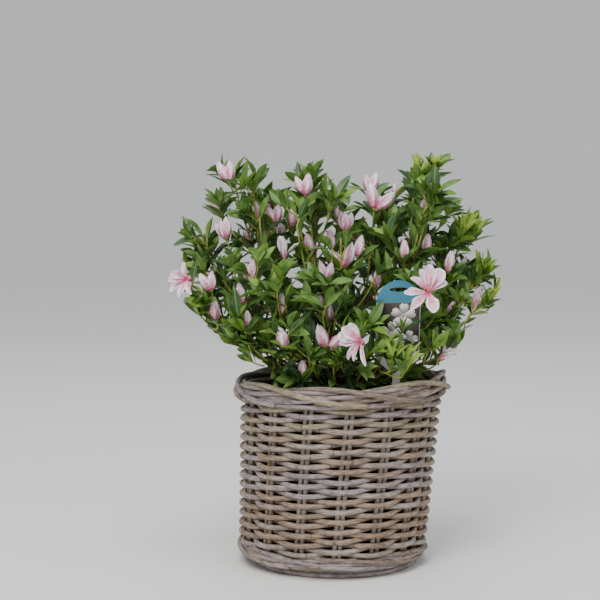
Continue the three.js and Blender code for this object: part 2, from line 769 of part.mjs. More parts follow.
add("basket_base", basketBase(), "#8f7c68", 0.8);
add("basket_foot_border", footBorder(), "#9c8a77", 0.75);
add("basket_weave", basketWeave(), "#a8947f", 0.75);
add("basket_stakes_and_rim", stakesAndRim(), "#a38f7b", 0.75);
add("pot_liner", potLiner(), "#1d1a18", 0.7);
add("soil", soil(), "#2e231b", 0.95);
add("trunk", trunk(), "#5b4030", 0.85);
add("plant_tag", plantTag(), "#3f8a94", 0.4);

for (const spray of SPRAYS) {
  spray.curve = limbCurve(spray);
  spray.path = curvePoints(spray.curve, 0, 1, LIMB_STEPS);
  spray.boughPath = curvePoints(spray.curve, 0, BOUGH_SHARE, BOUGH_STEPS);
  spray.leaderFrom = BOUGH_SHARE + GAP / paceAt(spray.curve, BOUGH_SHARE).length();
}
for (const spray of SPRAYS) {
  add(`bough_${spray.name}`, boughGeometry(spray), "#6d4a36", 0.8);
  add(`spray_${spray.name}`, sprayGeometry(spray), spray.tip === "young" ? "#7fa03e" : "#3f6b2f", 0.5);
}

export default group;
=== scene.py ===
"""The finished look of a potted azalea in a round basket of woven rattan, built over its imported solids.

Metres, +Z up. The origin is the centre of the basket's flat underside and -Y is the front. The basket is
woven here from round rods. The plant grows by the rule of its solids and on from them, with finer twigs,
leaves of the real size, striped buds and open flowers.
"""

import math
from functools import lru_cache

import bpy
import numpy as np
from mathutils import Matrix, Vector


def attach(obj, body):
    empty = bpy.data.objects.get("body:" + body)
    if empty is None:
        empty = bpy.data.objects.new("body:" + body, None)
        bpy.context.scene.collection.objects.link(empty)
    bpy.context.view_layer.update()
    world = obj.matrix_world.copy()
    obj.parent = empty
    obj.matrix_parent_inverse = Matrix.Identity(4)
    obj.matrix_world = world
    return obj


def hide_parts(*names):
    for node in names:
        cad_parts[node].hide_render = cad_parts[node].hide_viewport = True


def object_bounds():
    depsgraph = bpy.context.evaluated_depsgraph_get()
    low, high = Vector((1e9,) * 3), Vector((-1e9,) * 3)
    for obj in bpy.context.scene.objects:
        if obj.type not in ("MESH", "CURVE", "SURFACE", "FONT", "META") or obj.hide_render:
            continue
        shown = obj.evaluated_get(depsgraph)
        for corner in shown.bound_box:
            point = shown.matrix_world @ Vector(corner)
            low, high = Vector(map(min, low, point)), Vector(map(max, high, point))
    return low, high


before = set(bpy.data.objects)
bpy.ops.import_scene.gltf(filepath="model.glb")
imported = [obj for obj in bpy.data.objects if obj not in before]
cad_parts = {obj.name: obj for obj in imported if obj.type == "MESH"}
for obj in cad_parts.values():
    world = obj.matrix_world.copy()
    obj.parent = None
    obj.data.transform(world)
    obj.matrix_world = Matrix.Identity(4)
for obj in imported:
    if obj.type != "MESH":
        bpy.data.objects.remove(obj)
cad_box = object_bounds()

# The basket, as in its solids
POT_HEIGHT = 0.311
RIM_RADIUS = 0.180
WEAVE_RADIUS_LOW = 0.157
WEAVE_RADIUS_HIGH = 0.1665
BASE_RADIUS = 0.1385
BASE_HEIGHT = 0.012
FOOT_BORDER_TOP = 0.039
RIM_BORDER_LOW = 0.271
FOOT_OFFSET = -0.005
POT_LEAN = 0.018
RIM_SLOPE = 0.03
GAP = 0.0003
STAKES = 15
STAKE_TURN = 0.5
STAKE_TWIST = 3.5
ROUNDS = 28
ROD_HEIGHT = 0.0073
WALL_OUTSIDE = 0.0125
WALL_INSIDE = 0.0107
LINER_WALL = 0.002
LINER_CLEAR = 0.0008
SOIL_TOP = 0.255

# The rods of the weave and of the stakes, with the dark joints that swell on every rod
ROD_RADIUS = 0.00425
ROD_THICKNESS = (0.93, 1.04)
PASS_OUTSIDE = 0.0089
PASS_INSIDE = 0.0066
PASS_STEPS = 7
PASS_DROOP = 0.0007
ROD_SIDES = 10
ROD_PASSES = (9, 25)
ROD_END = 0.3
ROD_RIPPLES = ((0.0005, 2.3), (0.0004, 0.71), (0.0003, 5.1))
STAKE_ROD_RADIUS = 0.0038
STAKE_ROD_SPREAD = 0.0043
STAKE_PROUD = 0.0014
STAKE_STEPS = 14
STAKE_SIDES = 8
STAKE_SWAY = {"most": 0.0005, "long": 28, "short": 53, "shift": 9}
JOINT_EVERY = (0.18, 0.42)
JOINT_LAST = 0.02
JOINT_HALF = 0.0012
JOINT_CLEAR = 2.5
JOINT_EDGE = 1.001
JOINT_SWELL = 1.06
BORDER_TUCK = 0.0036
STAKE_TUCK = {"foot": 0.004, "rim": 0.014}

# The borders. A layer's rods run round the basket for a span of degrees while they wind over the oval
# section of the border: turns are in degrees from the outside (0) over the top (90) to the inside (180).
# Depth says how far out a rod lies at its start, middle and end, as a share of the oval's half size.
RIM = {"radius": 0.164, "half_width": 0.0112, "low": 0.2755, "high": 0.3062}
FOOT = {"radius": 0.147, "half_width": 0.0078, "low": 0.0165, "high": 0.0345}
RIM_CORE = {"rods": 5, "thick": 0.0050, "span": 92, "turns": (90, -90), "depth": (0.1, 0.1, 0.1)}
RIM_LAYERS = [
    {"rods": 9, "thick": 0.0041, "span": 104, "turns": (-64, 128), "depth": (0.56, 0.5, 0.68)},
    {"rods": 5, "thick": 0.0040, "span": 96, "turns": (-84, -66), "depth": (0.80, 0.86, 0.80)},
    {"rods": 8, "thick": 0.0043, "span": 100, "turns": (150, -46), "depth": (0.9, 1.06, 1.06)},
    {"rods": 7, "thick": 0.0042, "span": 106, "turns": (250, 150), "depth": (0.9, 0.9, 0.9)},
]
FOOT_CORE = {"rods": 4, "thick": 0.0046, "span": 92, "turns": (90, -90), "depth": (0.1, 0.1, 0.1)}
FOOT_LAYERS = [
    {"rods": 7, "thick": 0.0037, "span": 108, "turns": (-84, 84), "depth": (0.6, 0.56, 0.66)},
    {"rods": 7, "thick": 0.0038, "span": 112, "turns": (96, -70), "depth": (0.94, 1.04, 0.96)},
    {"rods": 5, "thick": 0.0036, "span": 100, "turns": (215, 120), "depth": (0.9, 0.9, 0.9)},
    {"rods": 4, "thick": 0.0038, "span": 96, "turns": (-118, -122), "depth": (1.0, 1.0, 1.0)},
]
BORDER_ROD_STEPS = 30
BORDER_ROD_SIDES = 9
BORDER_EASE = 0.6
LAYER_SHIFT = 0.35
BORDER_GIVE = {"start": 0.12, "span": (0.92, 1.08), "turn": 7, "thick": (0.93, 1.07)}

# The base: thin rods woven over and under spokes, and round its edge thicker rings, each with its radius,
# height and thickness
SPOKES = 16
SPOKE = {"thick": 0.0021, "short_of_edge": 0.006, "steps": 12}
BASE_WEAVE = {"thick": 0.0024, "from": 0.012, "step": 0.0052, "short_of_edge": 0.012, "swing": 0.0019}
BASE_DENSE_FROM = 0.03
BASE_MIDDLE = BASE_HEIGHT / 2 - 0.0002
BASE_RINGS = ((0.1338, 0.0050, 0.0046), (0.1290, 0.0048, 0.0044), (0.1325, 0.0102, 0.0030))
BASE_RING_STEPS = 97
BASE_RING_SIDES = 9
BASE_ROD_SIDES = 6

# The soil's surface, with its crumbs and scraps of bark
SOIL = {"rings": 26, "sides": 72, "sunk": 0.0022, "middle": 0.001, "bumps": 0.0016, "grain": 0.0012}
SOIL_WAVES = {"out": (61, 40), "round": (3, 5)}
CRUMBS = {"count": 1500, "sizes": (0.0008, 0.0032), "sunk": 0.0012, "reach": 0.98, "bark": 0.3}
CRUMBS |= {"tall": 0.6, "wide": (0.6, 1.4), "turn": 0.5}

# The stem, as in the solids, and the ridges of its bark: size, number round it and slant of each kind
TRUNK_HEIGHT = 0.028
TRUNK_RADIUS = 0.017
TRUNK_FLARE = 0.029
TRUNK_HEAD = 0.027
TRUNK_ANKLE = {"radius": 0.019, "share": 0.3}
TRUNK_NARROWEST = 0.55
TRUNK_ROWS = 18
TRUNK_SIDES = 60
BARK_DEPTH = 0.94
BARK_RIDGES = ((0.05, 9, 60), (0.03, 23, -180))

# The sprays, as in the solids: name, azimuth, reach, height, kind of tip and seed
SPRAYS = [
    ("upper_left", 176, 0.176, 0.628, "bud", 10),
    ("upper_mid_left", -150, 0.062, 0.612, "bud", 4),
    ("upper_mid", 4, 0.056, 0.596, "bud", 9),
    ("upper_right", 8, 0.146, 0.631, "young", 8),
    ("high_right", 12, 0.207, 0.530, "young", 8),
    ("far_right", -4, 0.218, 0.462, "young", 12),
    ("high_left", -176, 0.224, 0.526, "bud", 10),
    ("far_left", -168, 0.232, 0.450, "open", 10),
    ("front_left", -145, 0.168, 0.478, "bud", 8),
    ("front_mid", -92, 0.060, 0.535, "bud", 7),
    ("front_centre", -104, 0.118, 0.458, "bud", 7),
    ("front_right", -41, 0.166, 0.452, "open", 10),
    ("low_left", -152, 0.186, 0.402, "bud", 5),
    ("front_low_left", -124, 0.160, 0.386, "bud", 5),
    ("front_low", -84, 0.146, 0.380, "open", 8),
    ("low_right", -24, 0.192, 0.362, "bud", 3),
    ("back_left", 136, 0.196, 0.535, "bud", 4),
    ("back_mid", 92, 0.140, 0.562, "bud", 3),
    ("back_right", 48, 0.188, 0.545, "young", 4),
    ("back_low_left", 146, 0.198, 0.430, "bud", 6),
    ("back_low_mid", 98, 0.190, 0.425, "bud", 8),
    ("back_low_right", 38, 0.216, 0.418, "bud", 6),
]
INNER_REACH = 0.100
INNER_FOOT = {"ring": 0.009, "turn": 20}
OUTER_FOOT = {"ring": 0.0225, "turn": 6}
BOUGH_SHARE = 0.4
BOUGH_RADIUS = 0.0031
BOUGH_TIP_RADIUS = 0.0021
BOUGH_STEPS = 16
BOUGH_SIDES = 10
BOUGH_SUNK = 0.001
BOUGH_KNOBS = {"size": 0.10, "pace": 2.6}
LIMB_STEPS = 10
LIMB_START = {"reach": 0.017, "reach_share": 0.2, "rise": 0.022, "rise_share": 0.1}
LIMB_BEND = {"reach_share": 0.8, "rise_share": 0.5}
LEADER_STEPS = 3
SHOOTS_LEAST = 3
SHOOT_SPACING = 0.048
SHOOT_SPAN = (0.12, 0.66)
SHOOT_LEAN = (35, 60)
SHOOT_SHARE = (0.7, 0.95)
SHOOT_LEAST = 0.058
SHOOT_BEND = 0.4
SHOOT_RISING = {"away": 0.55, "up": 0.8}
SHOOT_TRIES = 14
TRY_TURN = 1.1
LEAF_STEP = 0.042
LEAF_SPAN = (0.12, 0.8)
LEAF_LEAN = (45, 62)
LEAF_SWAY = (-16, 16)
LEAF_SIZE = (0.8, 1.1)
LEAF_LENGTH = 0.054
LEAF_WIDTH = 0.019
LEAF_APART = 0.017
LEAF_SIDES = 3
WHORL = 4
WHORL_STEP = 0.0036
WHORL_LEAN = (32, 55)
BUD_LENGTH = 0.036
BUD_RADIUS = 0.006
BUD_SIZE = (0.85, 1.1)
BUD_SHARE = 0.55
BUD_LEAN = 8
PAIR_LEANS = (22, 24)
PETALS = 5
BLADE_WIDEST = 0.46
GOLDEN_ANGLE = math.radians(137.5)
SPACE_MARGIN = 0.002
LIMB_MARGIN = 0.006
RIM_MARGIN = 0.007
RIM_THICKNESS = 0.032
BUD_SUNK = 0.0008

# The finer growth. Leaves stand along the shoots and in whorls at their tips, where a young shoot also
# has an upright tuft. Each kind has its lengths, its width as a share of them and its leans in degrees.
LEAF_KINDS = {
    "along": {"length": (0.029, 0.043), "ratio": 0.33, "lean": (50, 30)},
    "outer": {"length": (0.036, 0.050), "ratio": 0.35, "lean": (26, 56)},
    "inner": {"length": (0.024, 0.034), "ratio": 0.33, "lean": (14, 34)},
    "tuft": {"length": (0.034, 0.048), "ratio": 0.13, "lean": (4, 22)},
}
LEAF_EVERY = (0.012, 0.020)
LEAF_LAST = 0.010
LEAF_LOWEST_SIZE = 0.8
LEAF_RATIO_GIVE = (0.9, 1.1)
LEAF_TURNED_UP = 0.25
WHORL_COUNTS = {"outer": 5, "inner": 2}
TUFTS = 3
TUFT_LEAVES = 4
TUFT_STEM = {"length": 0.014, "give": (0.6, 1.2), "lean": (6, 20), "radii": (0.0013, 0.0010)}
TUFT_SPAN = (0.5, 1.0)
WHORL_SPREAD = 0.0016
LEADER_RADII = (0.0023, 0.0020, 0.0017)
SIDE_RADII = (0.0019, 0.0016, 0.0014)
TWIG_SHARE = {"low": 1.0, "high": 0.6}
LOW_SPRAY = 0.50
TWIG_REACH = (0.42, 0.58)
TWIG_RISING = 0.35
TWIG_RADII = (0.0014, 0.0011)
WOODY_LENGTH = 0.06
PATH_POINTS = {"leader": 14, "basal": 12}
BEND_STEPS = {"side": 7, "twig": 4, "bloom": 6}
SHOOT_SIDES = 7
STALK_SIDES = 6
BARE = {"leader": 0.05, "side": 0.12, "twig": 0.4, "basal": 0.35, "bloom": 0.5}
# How fresh a leaf is, from 0 to 1, before a give either way, and from where on it counts as mid or fresh
FRESHNESS = {"along": 0.55, "outer": 0.55, "inner": 0.8}
FRESHNESS_GIVE = 0.3
MID_FROM, FRESH_FROM = 0.36, 0.72
YOUNG_SHARE = 0.75

# Leafy shoots from the plant's foot: azimuth, reach and height of their tips
BASAL_SHOOTS = [
    (-178, 0.150, 0.368),
    (-163, 0.128, 0.352),
    (-148, 0.140, 0.372),
    (-131, 0.128, 0.346),
    (-112, 0.132, 0.352),
    (-97, 0.126, 0.340),
    (-76, 0.128, 0.346),
    (-63, 0.142, 0.374),
    (-54, 0.156, 0.392),
    (-46, 0.150, 0.362),
    (-33, 0.134, 0.348),
    (-12, 0.138, 0.366),
    (6, 0.150, 0.372),
    (28, 0.132, 0.350),
    (52, 0.142, 0.366),
    (76, 0.128, 0.350),
    (104, 0.136, 0.368),
    (128, 0.130, 0.350),
    (152, 0.144, 0.370),
]
BASAL_RADII = (0.0021, 0.0017, 0.0014)
# Where they start from the stem's axis, and their two bends as shares of the reach and of the rise
BASAL_FOOT = 0.006
BASAL_BENDS = ((0.4, 0.1), (0.9, 0.3))
REACH_MARGIN = 0.006
# The crown's lower edge rises outward from the rim, and the stems below it are bare
FAN_EDGE = {"reach": 0.162, "height": 0.326, "slope": 1.1}

# The blooms of the front as the photograph shows them: kind, column and row of the middle, and how far
# behind the plant's axis. Behind FRONT_FROM the buds of the solids are drawn instead.
FRONT_FROM = 0.03
BLOOM_SPLAY = 1.6
# A bloom's twig starts this much lower, and each metre by which a place is too high counts for two
BRANCH_BELOW = 0.012
BRANCH_WEIGHT = 2
FLOWER_FACES = {"wide": (0.0, -0.86, 0.5), "ribbon": (-0.35, -0.86, 0.35), "pale": (-0.5, -0.8, 0.35)}
PETAL_GIVE = 4
THROAT = {"length": 0.012, "radius": 0.0042, "widths": (0.3, 0.7, 1.0), "middle": 0.4, "lip": 0.001}
THROAT |= {"petals_at": 0.6, "sides": 9}
STAMENS = {"count": 5, "from": 70, "apart": 22, "leans": (10, 30), "length": 0.020, "give": (0.85, 1.1)}
STAMENS |= {"bow": 0.001, "sides": 4}
STAMEN_RADII = (0.0005, 0.0004, 0.0004)
ANTHER_LENGTH = 0.002
ANTHER_RADII = (0.0008, 0.0006)
RUFFLE = 0.07
# The petals of the open flowers, seen from before each: turn from the right, lean out of the flower's
# axis, length, width as a share of it, and how far the petal curls back
FLOWER_PETALS = {
    "wide": [
        (138, 62, 0.038, 0.30, 60),
        (113, 50, 0.038, 0.38, 30),
        (88, 44, 0.044, 0.46, 20),
        (58, 52, 0.043, 0.54, 45),
        (30, 60, 0.034, 0.36, 60),
        (280, 62, 0.041, 0.50, 20),
        (184, 74, 0.038, 0.34, 30),
        (226, 76, 0.040, 0.36, 30),
    ],
    "ribbon": [
        (150, 56, 0.034, 0.44, 20),
        (126, 50, 0.037, 0.52, 20),
        (102, 44, 0.037, 0.54, 20),
        (78, 44, 0.033, 0.46, 45),
        (186, 66, 0.038, 0.22, 75),
        (204, 68, 0.034, 0.22, 60),
        (236, 68, 0.041, 0.18, 60),
    ],
    "pale": [
        (170, 58, 0.034, 0.40, 20),
        (140, 50, 0.030, 0.44, 20),
        (110, 50, 0.028, 0.46, 20),
        (204, 60, 0.034, 0.36, 30),
        (240, 62, 0.030, 0.34, 45),
        (40, 50, 0.026, 0.40, 30),
    ],
}
BUD_DRAWN_RADIUS = 0.0080
BUD_STALK = 0.005
STALK = {"sunk": 0.002, "radii": (0.0012, 0.0014)}
CALYX = {"half": 0.003, "widths": (0.3, 0.42), "sides": 7}
BUD_GIVE = (0.88, 1.06)
# The lengths of the buds, and the leans of each bud of a group out of its twig
BUD_GROUPS = {
    "bud": {"length": 0.036, "leans": (8,)},
    "small": {"length": 0.023, "leans": (8,)},
    "large": {"length": 0.044, "leans": (5,)},
    "pair": {"length": 0.037, "leans": (14, 18)},
    "three": {"length": 0.034, "leans": (16, 24, 12)},
    "vee": {"length": 0.042, "leans": (12, 44)},
    "vee_left": {"length": 0.042, "leans": (12, 44)},
}
# The way that a group's first bud leans, in degrees from the right; the other groups take either side
GROUP_TURNS = {"vee": (180,), "vee_left": (0,)}
GROUP_SWAY = 0.4
OPENING_LENGTH = 0.042
OPENING_LEANS = {"opening": 0, "lying": 48}
OPENING = {"out": 34, "together": (6, 15), "lengths": (0.85, 1.05), "ratio": 0.36, "curl": 45}
OPENING |= {"ruffle": 0.05, "heart": 0.8, "heart_radius": 0.0052}
BLOOMS = [
    ("pair", 230, 170, -0.010),
    ("pair", 305, 184, -0.048),
    ("vee", 374, 196, 0.000),
    ("pair", 370, 181, 0.012),
    ("small", 395, 188, 0.010),
    ("small", 422, 206, -0.030),
    ("three", 227, 227, -0.030),
    ("bud", 203, 236, -0.010),
    ("bud", 257, 210, -0.015),
    ("pair", 276, 212, 0.020),
    ("bud", 293, 217, 0.000),
    ("opening", 283, 247, -0.045),
    ("bud", 312, 243, -0.030),
    ("bud", 333, 239, -0.010),
    ("three", 346, 220, -0.030),
    ("vee_left", 346, 254, -0.055),
    ("bud", 357, 245, -0.060),
    ("pair", 251, 268, -0.070),
    ("pair", 327, 270, -0.080),
    ("bud", 375, 275, -0.060),
    ("bud", 404, 248, -0.050),
    ("bud", 426, 243, -0.020),
    ("bud", 448, 262, -0.040),
    ("small", 460, 261, 0.000),
    ("bud", 242, 293, -0.080),
    ("bud", 282, 303, -0.100),
    ("bud", 217, 309, -0.070),
    ("bud", 249, 318, -0.090),
    ("large", 286, 337, -0.125),
    ("bud", 322, 300, -0.080),
    ("bud", 328, 314, -0.070),
    ("vee", 326, 336, -0.120),
    ("bud", 302, 366, -0.110),
    ("small", 447, 306, -0.060),
    ("opening", 477, 297, -0.020),
    ("lying", 450, 353, -0.080),
    ("pair", 212, 279, -0.050),
    ("wide", 428, 296, -0.135),
    ("ribbon", 364, 343, -0.160),
    ("pale", 192, 281, -0.050),
    ("young", 416, 184, -0.015),
    ("young", 428, 181, -0.005),
    ("young", 459, 240, -0.010),
    ("young", 470, 242, 0.010),
    ("young", 478, 284, -0.020),
    ("young", 490, 306, -0.010),
    ("young", 311, 192, -0.010),
    ("young", 391, 366, -0.146),
    ("young", 403, 374, -0.138),
]

# Half the space, in columns and rows of the photograph, that leaves keep clear in front of a bloom. The
# space is a little higher than the bloom, whose foot the leaves may hide.
SIGHTS = {"bud": (6, 9), "small": (5, 6), "large": (9, 11), "pair": (9, 9), "three": (11, 9)}
SIGHTS |= {"vee": (13, 10), "vee_left": (16, 12), "opening": (9, 11), "lying": (13, 7)}
SIGHTS |= {"wide": (16, 15), "ribbon": (15, 15), "pale": (14, 11)}
SIGHT_RISE = 3
SIGHT_DEPTH = 0.012

# The tag, as in the solids; its heights are measured from the soil
TAG = {"x": 0.094, "y": -0.088, "turn": 6, "tilt": 9, "width": 0.070, "top": 0.220}
TAG_THICKNESS = 0.001
TAG_CLEAR = {"face": 0.003, "edge": 0.004, "beside": 0.010, "above": 0.008}

# The tag's head is teal down to the band. Below it a dark panel is printed, with three plain rosettes:
# across, above the soil and radius of each. Panels are given by their edges: left, right, low and high.
TAG_PANEL = (-0.0305, 0.0342, 0.104, 0.184)
TAG_PANEL_CORNER = 0.003
CORNER_STEPS = 3
TAG_ROSETTES = ((0.008, 0.163, 0.0200), (-0.0105, 0.134, 0.0195), (0.0175, 0.1235, 0.0155))
TAG_BAND = 0.184
TAG_BAND_EDGE = 0.0005
TAG_LABEL = (-0.0300, 0.0300, 0.100, 0.180)
ROSETTE_HEART = 0.16
ROSETTE_EDGE = ((0.10, 0.12), (0.34, 0.55), (0.36, 0.82), (0.16, 1.0))
ROSETTE_NOTCH = (0.0, 0.92)
ROSETTE_TURN = 12
PRINT_DEPTH = 0.00015

# The floor round the part and its backdrop
FLOOR = {"reach": 7.0, "curve": 3.0, "wall": 4.5, "steps": 12, "sides": 96}

# The camera stands where the photograph was taken from; its focus is counted in columns of the photograph
CAMERA = {"x": -0.0575, "y": -2.6, "height": 0.658, "lens": 95.4, "farthest": 100}
PITCH = math.radians(5.0)
SENSOR_WIDTH = 36
PHOTO_SIDE = 600
PHOTO_MIDDLE = PHOTO_SIDE / 2
FOCUS = CAMERA["lens"] / SENSOR_WIDTH * PHOTO_SIDE

# The lights: place, height of the target above the origin, size and power
LIGHTS = {
    "key": ((-0.8, -2.2, 2.5), 0.35, 1.2, 56),
    "top": ((0.0, -0.9, 3.2), 0.30, 1.2, 26),
    "fill": ((1.8, -1.2, 1.3), 0.35, 1.6, 4),
    "back": ((0.0, 1.9, 2.6), 0.40, 1.4, 14),
}
SKY = {"colour": (0.86, 0.90, 0.96, 1), "strength": 0.75}

UP = np.array((0.0, 0.0, 1.0))
SEEDS = {"weave": 21, "stakes": 5, "rim": 8, "foot": 15, "base": 33, "soil": 77}
SEEDS |= {"twigs": 1000, "basal": 404, "blooms": 909}


# Small helpers


def mix(a, b, share):
    return a + (b - a) * share


def within(span, share):
    return mix(span[0], span[1], share)


def give(most, random):
    """A random amount, up to the most either way."""
    return mix(-most, most, random())


def one_of(choices, random):
    return choices[int(len(choices) * random())]


def unit(vector):
    return vector / math.sqrt(vector @ vector)


def outward(angle):
    return np.array((math.cos(angle), math.sin(angle), 0.0))


def random_source(seed):
    """Repeatable random numbers from 0 to 1, the same as in the source of the solids."""
    state = seed

    def draw():
        nonlocal state
        state = (state * 1664525 + 1013904223) % 2**32
        return state / 2**32

    return draw


def askew(points):
    """The handmade wall stands a little askew on its base and leans right, where the rim is higher."""
    x, y, z = np.asarray(points, float).T
    share = z / POT_HEIGHT
    return np.stack((x + FOOT_OFFSET + POT_LEAN * share, y, z + RIM_SLOPE * x * share**3), axis=-1)


def stake_circle(z):
    share = (z - FOOT_BORDER_TOP) / (RIM_BORDER_LOW - FOOT_BORDER_TOP)
    return mix(WEAVE_RADIUS_LOW, WEAVE_RADIUS_HIGH, share) - WALL_OUTSIDE


def stake_angle(i, z):
    """The stakes are counted round from the front, and twist a little as they rise."""
    return np.radians(STAKE_TURN - 90 + STAKE_TWIST * z / POT_HEIGHT) + 2 * math.pi * i / STAKES


PLANT_X = askew([(0, 0, SOIL_TOP)])[0][0]
RIM_CENTRE_X = askew([(0, 0, POT_HEIGHT)])[0][0]


# Meshes


class Piece:
    """A joined mesh in the making: its points, its faces and the material number of each face."""

    def __init__(self):
        self.points = []
        self.faces = []
        self.slots = []
        self.size = 0

    def add(self, points, faces, slots=0):
        self.points.append(points)
        self.faces.extend(tuple(i + self.size for i in face) for face in faces)
        self.slots.extend([slots] * len(faces) if isinstance(slots, int) else slots)
        self.size += len(points)

    def build(self, name, materials, slot, replaces=()):
        mesh = bpy.data.meshes.new(name)
        mesh.from_pydata(np.concatenate(self.points).tolist(), [], self.faces)
        for material in materials:
            mesh.materials.append(material)
        mesh.polygons.foreach_set("material_index", self.slots)
        mesh.polygons.foreach_set("use_smooth", [True] * len(self.faces))
        mesh.update()
        piece = bpy.data.objects.new(name, mesh)
        bpy.context.scene.collection.objects.link(piece)
        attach(piece, "root")
        if replaces:
            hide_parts(*replaces)


@lru_cache(maxsize=None)
def tube_faces(count, sides):
    """The faces of a closed tube: bands between its rings, and an end over each of the outer rings."""
    faces = []
    for i in range(count - 1):
        for j in range(sides):
            k = (j + 1) % sides
            faces.append((i * sides + j, i * sides + k, (i + 1) * sides + k, (i + 1) * sides + j))
    last = (count - 1) * sides
    return [*faces, tuple(range(sides - 1, -1, -1)), tuple(range(last, last + sides))]


def disc_faces(rings, sides):
    """The faces from a middle point out over rings of points."""
    faces = [(0, 1 + j, 1 + (j + 1) % sides) for j in range(sides)]
    for i in range(rings - 1):
        for j in range(sides):
            a = 1 + i * sides + j
            b = 1 + i * sides + (j + 1) % sides
            faces.append((a, a + sides, b + sides, b))
    return faces


def turns_round(sides):
    return [2 * math.pi * j / sides for j in range(sides)]


def tube_points(path, radii, sides):
    """Rings round a path that follow it without twisting."""
    path = np.asarray(path, float)
    ahead = np.gradient(path, axis=0)
    ahead /= np.linalg.norm(ahead, axis=1)[:, None]
    turns = 2 * np.pi * np.arange(sides) / sides
    across = np.array((1.0, 0.0, 0.0)) if abs(ahead[0][0]) < 0.8 else UP
    rings = []
    for point, heading, radius in zip(path, ahead, radii):
        across = unit(across - (across @ heading) * heading)
        up = np.cross(heading, across)
        rings.append(point + radius * (np.outer(np.cos(turns), across) + np.outer(np.sin(turns), up)))
    return np.concatenate(rings)


def add_tube(piece, path, radii, sides, slot=0):
    piece.add(tube_points(path, radii, sides), tube_faces(len(path), sides), slot)


# Materials


def colour(code):
    """A web colour as linear red, green, blue and alpha."""
    parts = [int(code[i : i + 2], 16) / 255 for i in (1, 3, 5)]
    return (*[p / 12.92 if p <= 0.04045 else ((p + 0.055) / 1.055) ** 2.4 for p in parts], 1.0)


# The numbers of the mix node's sockets for colours, which share their names with others
MIX_FIRST, MIX_SECOND, MIX_RESULT = 6, 7, 2


class Finish:
    """A material's nodes, made by short calls."""

    def __init__(self, name, roughness, specular=0.4):
        self.material = bpy.data.materials.new(name)
        self.material.use_nodes = True
        self.nodes = self.material.node_tree.nodes
        self.links = self.material.node_tree.links
        self.surface = self.nodes["Principled BSDF"]
        self.surface.inputs["Roughness"].default_value = roughness
        self.surface.inputs["Specular IOR Level"].default_value = specular
        self.place = self.nodes.new("ShaderNodeTexCoord").outputs["Object"]

    def noise(self, scale, stretch=(1, 1, 1), detail=4):
        mapping = self.nodes.new("ShaderNodeMapping")
        mapping.inputs["Scale"].default_value = stretch
        self.links.new(self.place, mapping.inputs["Vector"])
        noise = self.nodes.new("ShaderNodeTexNoise")
        noise.inputs["Scale"].default_value = scale
        noise.inputs["Detail"].default_value = detail
        self.links.new(mapping.outputs["Vector"], noise.inputs["Vector"])
        return noise.outputs["Fac"]

    def ramp(self, factor, stops):
        ramp = self.nodes.new("ShaderNodeValToRGB")
        elements = ramp.color_ramp.elements
        while len(elements) < len(stops):
            elements.new(0.5)
        for element, (position, code) in zip(elements, stops):
            element.position = position
            element.color = colour(code)
        self.links.new(factor, ramp.inputs["Fac"])
        return ramp.outputs["Color"]

    def stained(self, share, base, stains):
        blend = self.nodes.new("ShaderNodeMix")
        blend.data_type = "RGBA"
        blend.blend_type = "MULTIPLY"
        blend.inputs["Factor"].default_value = share
        self.links.new(base, blend.inputs[MIX_FIRST])
        self.links.new(stains, blend.inputs[MIX_SECOND])
        return blend.outputs[MIX_RESULT]

    def rough(self, factor, low, high):
        spread = self.nodes.new("ShaderNodeMapRange")
        spread.inputs["To Min"].default_value = low
        spread.inputs["To Max"].default_value = high
        self.links.new(factor, spread.inputs["Value"])
        self.links.new(spread.outputs["Result"], self.surface.inputs["Roughness"])

    def bump(self, height, distance, strength=1.0):
        bump = self.nodes.new("ShaderNodeBump")
        bump.inputs["Distance"].default_value = distance
        bump.inputs["Strength"].default_value = strength
        self.links.new(height, bump.inputs["Height"])
        self.links.new(bump.outputs["Normal"], self.surface.inputs["Normal"])

    def paint(self, socket):
        self.links.new(socket, self.surface.inputs["Base Color"])
        return self.material


def grained(name, roughness, specular, grain, relief, stops):
    """A finish whose one pattern of grain gives its colours and, where it has relief, its bump."""
    finish = Finish(name, roughness, specular)
    pattern = finish.noise(*grain)
    if relief:
        finish.bump(pattern, *relief)
    return finish.paint(finish.ramp(pattern, stops))


def rattan_finish(name, pale, main, dark, stretch):
    """Weathered rattan: fine streaks along the rod over broad stains, with a dull skin."""
    finish = Finish(name, 0.6, 0.3)
    streaks = finish.noise(90, stretch, 6)
    stains = finish.noise(22, (1, 1, 1), 3)
    base = finish.ramp(streaks, [(0.3, dark), (0.5, main), (0.72, pale)])
    cloudy = finish.ramp(stains, [(0.35, "#8d8078"), (0.6, "#ffffff")])
    finish.rough(streaks, 0.5, 0.75)
    finish.bump(streaks, 0.0004, 0.5)
    return finish.paint(finish.stained(0.35, base, cloudy))


RATTAN_TONES = {
    "grey": ("#c5b7ad", "#9f9288", "#746860"),
    "lilac": ("#bbb0b0", "#988d8c", "#6d6362"),
    "tan": ("#c0aa96", "#9b8774", "#6f5c4d"),
    "straw": ("#c2b399", "#9d9079", "#716550"),
    "umber": ("#a79688", "#847467", "#5a4e43"),
}
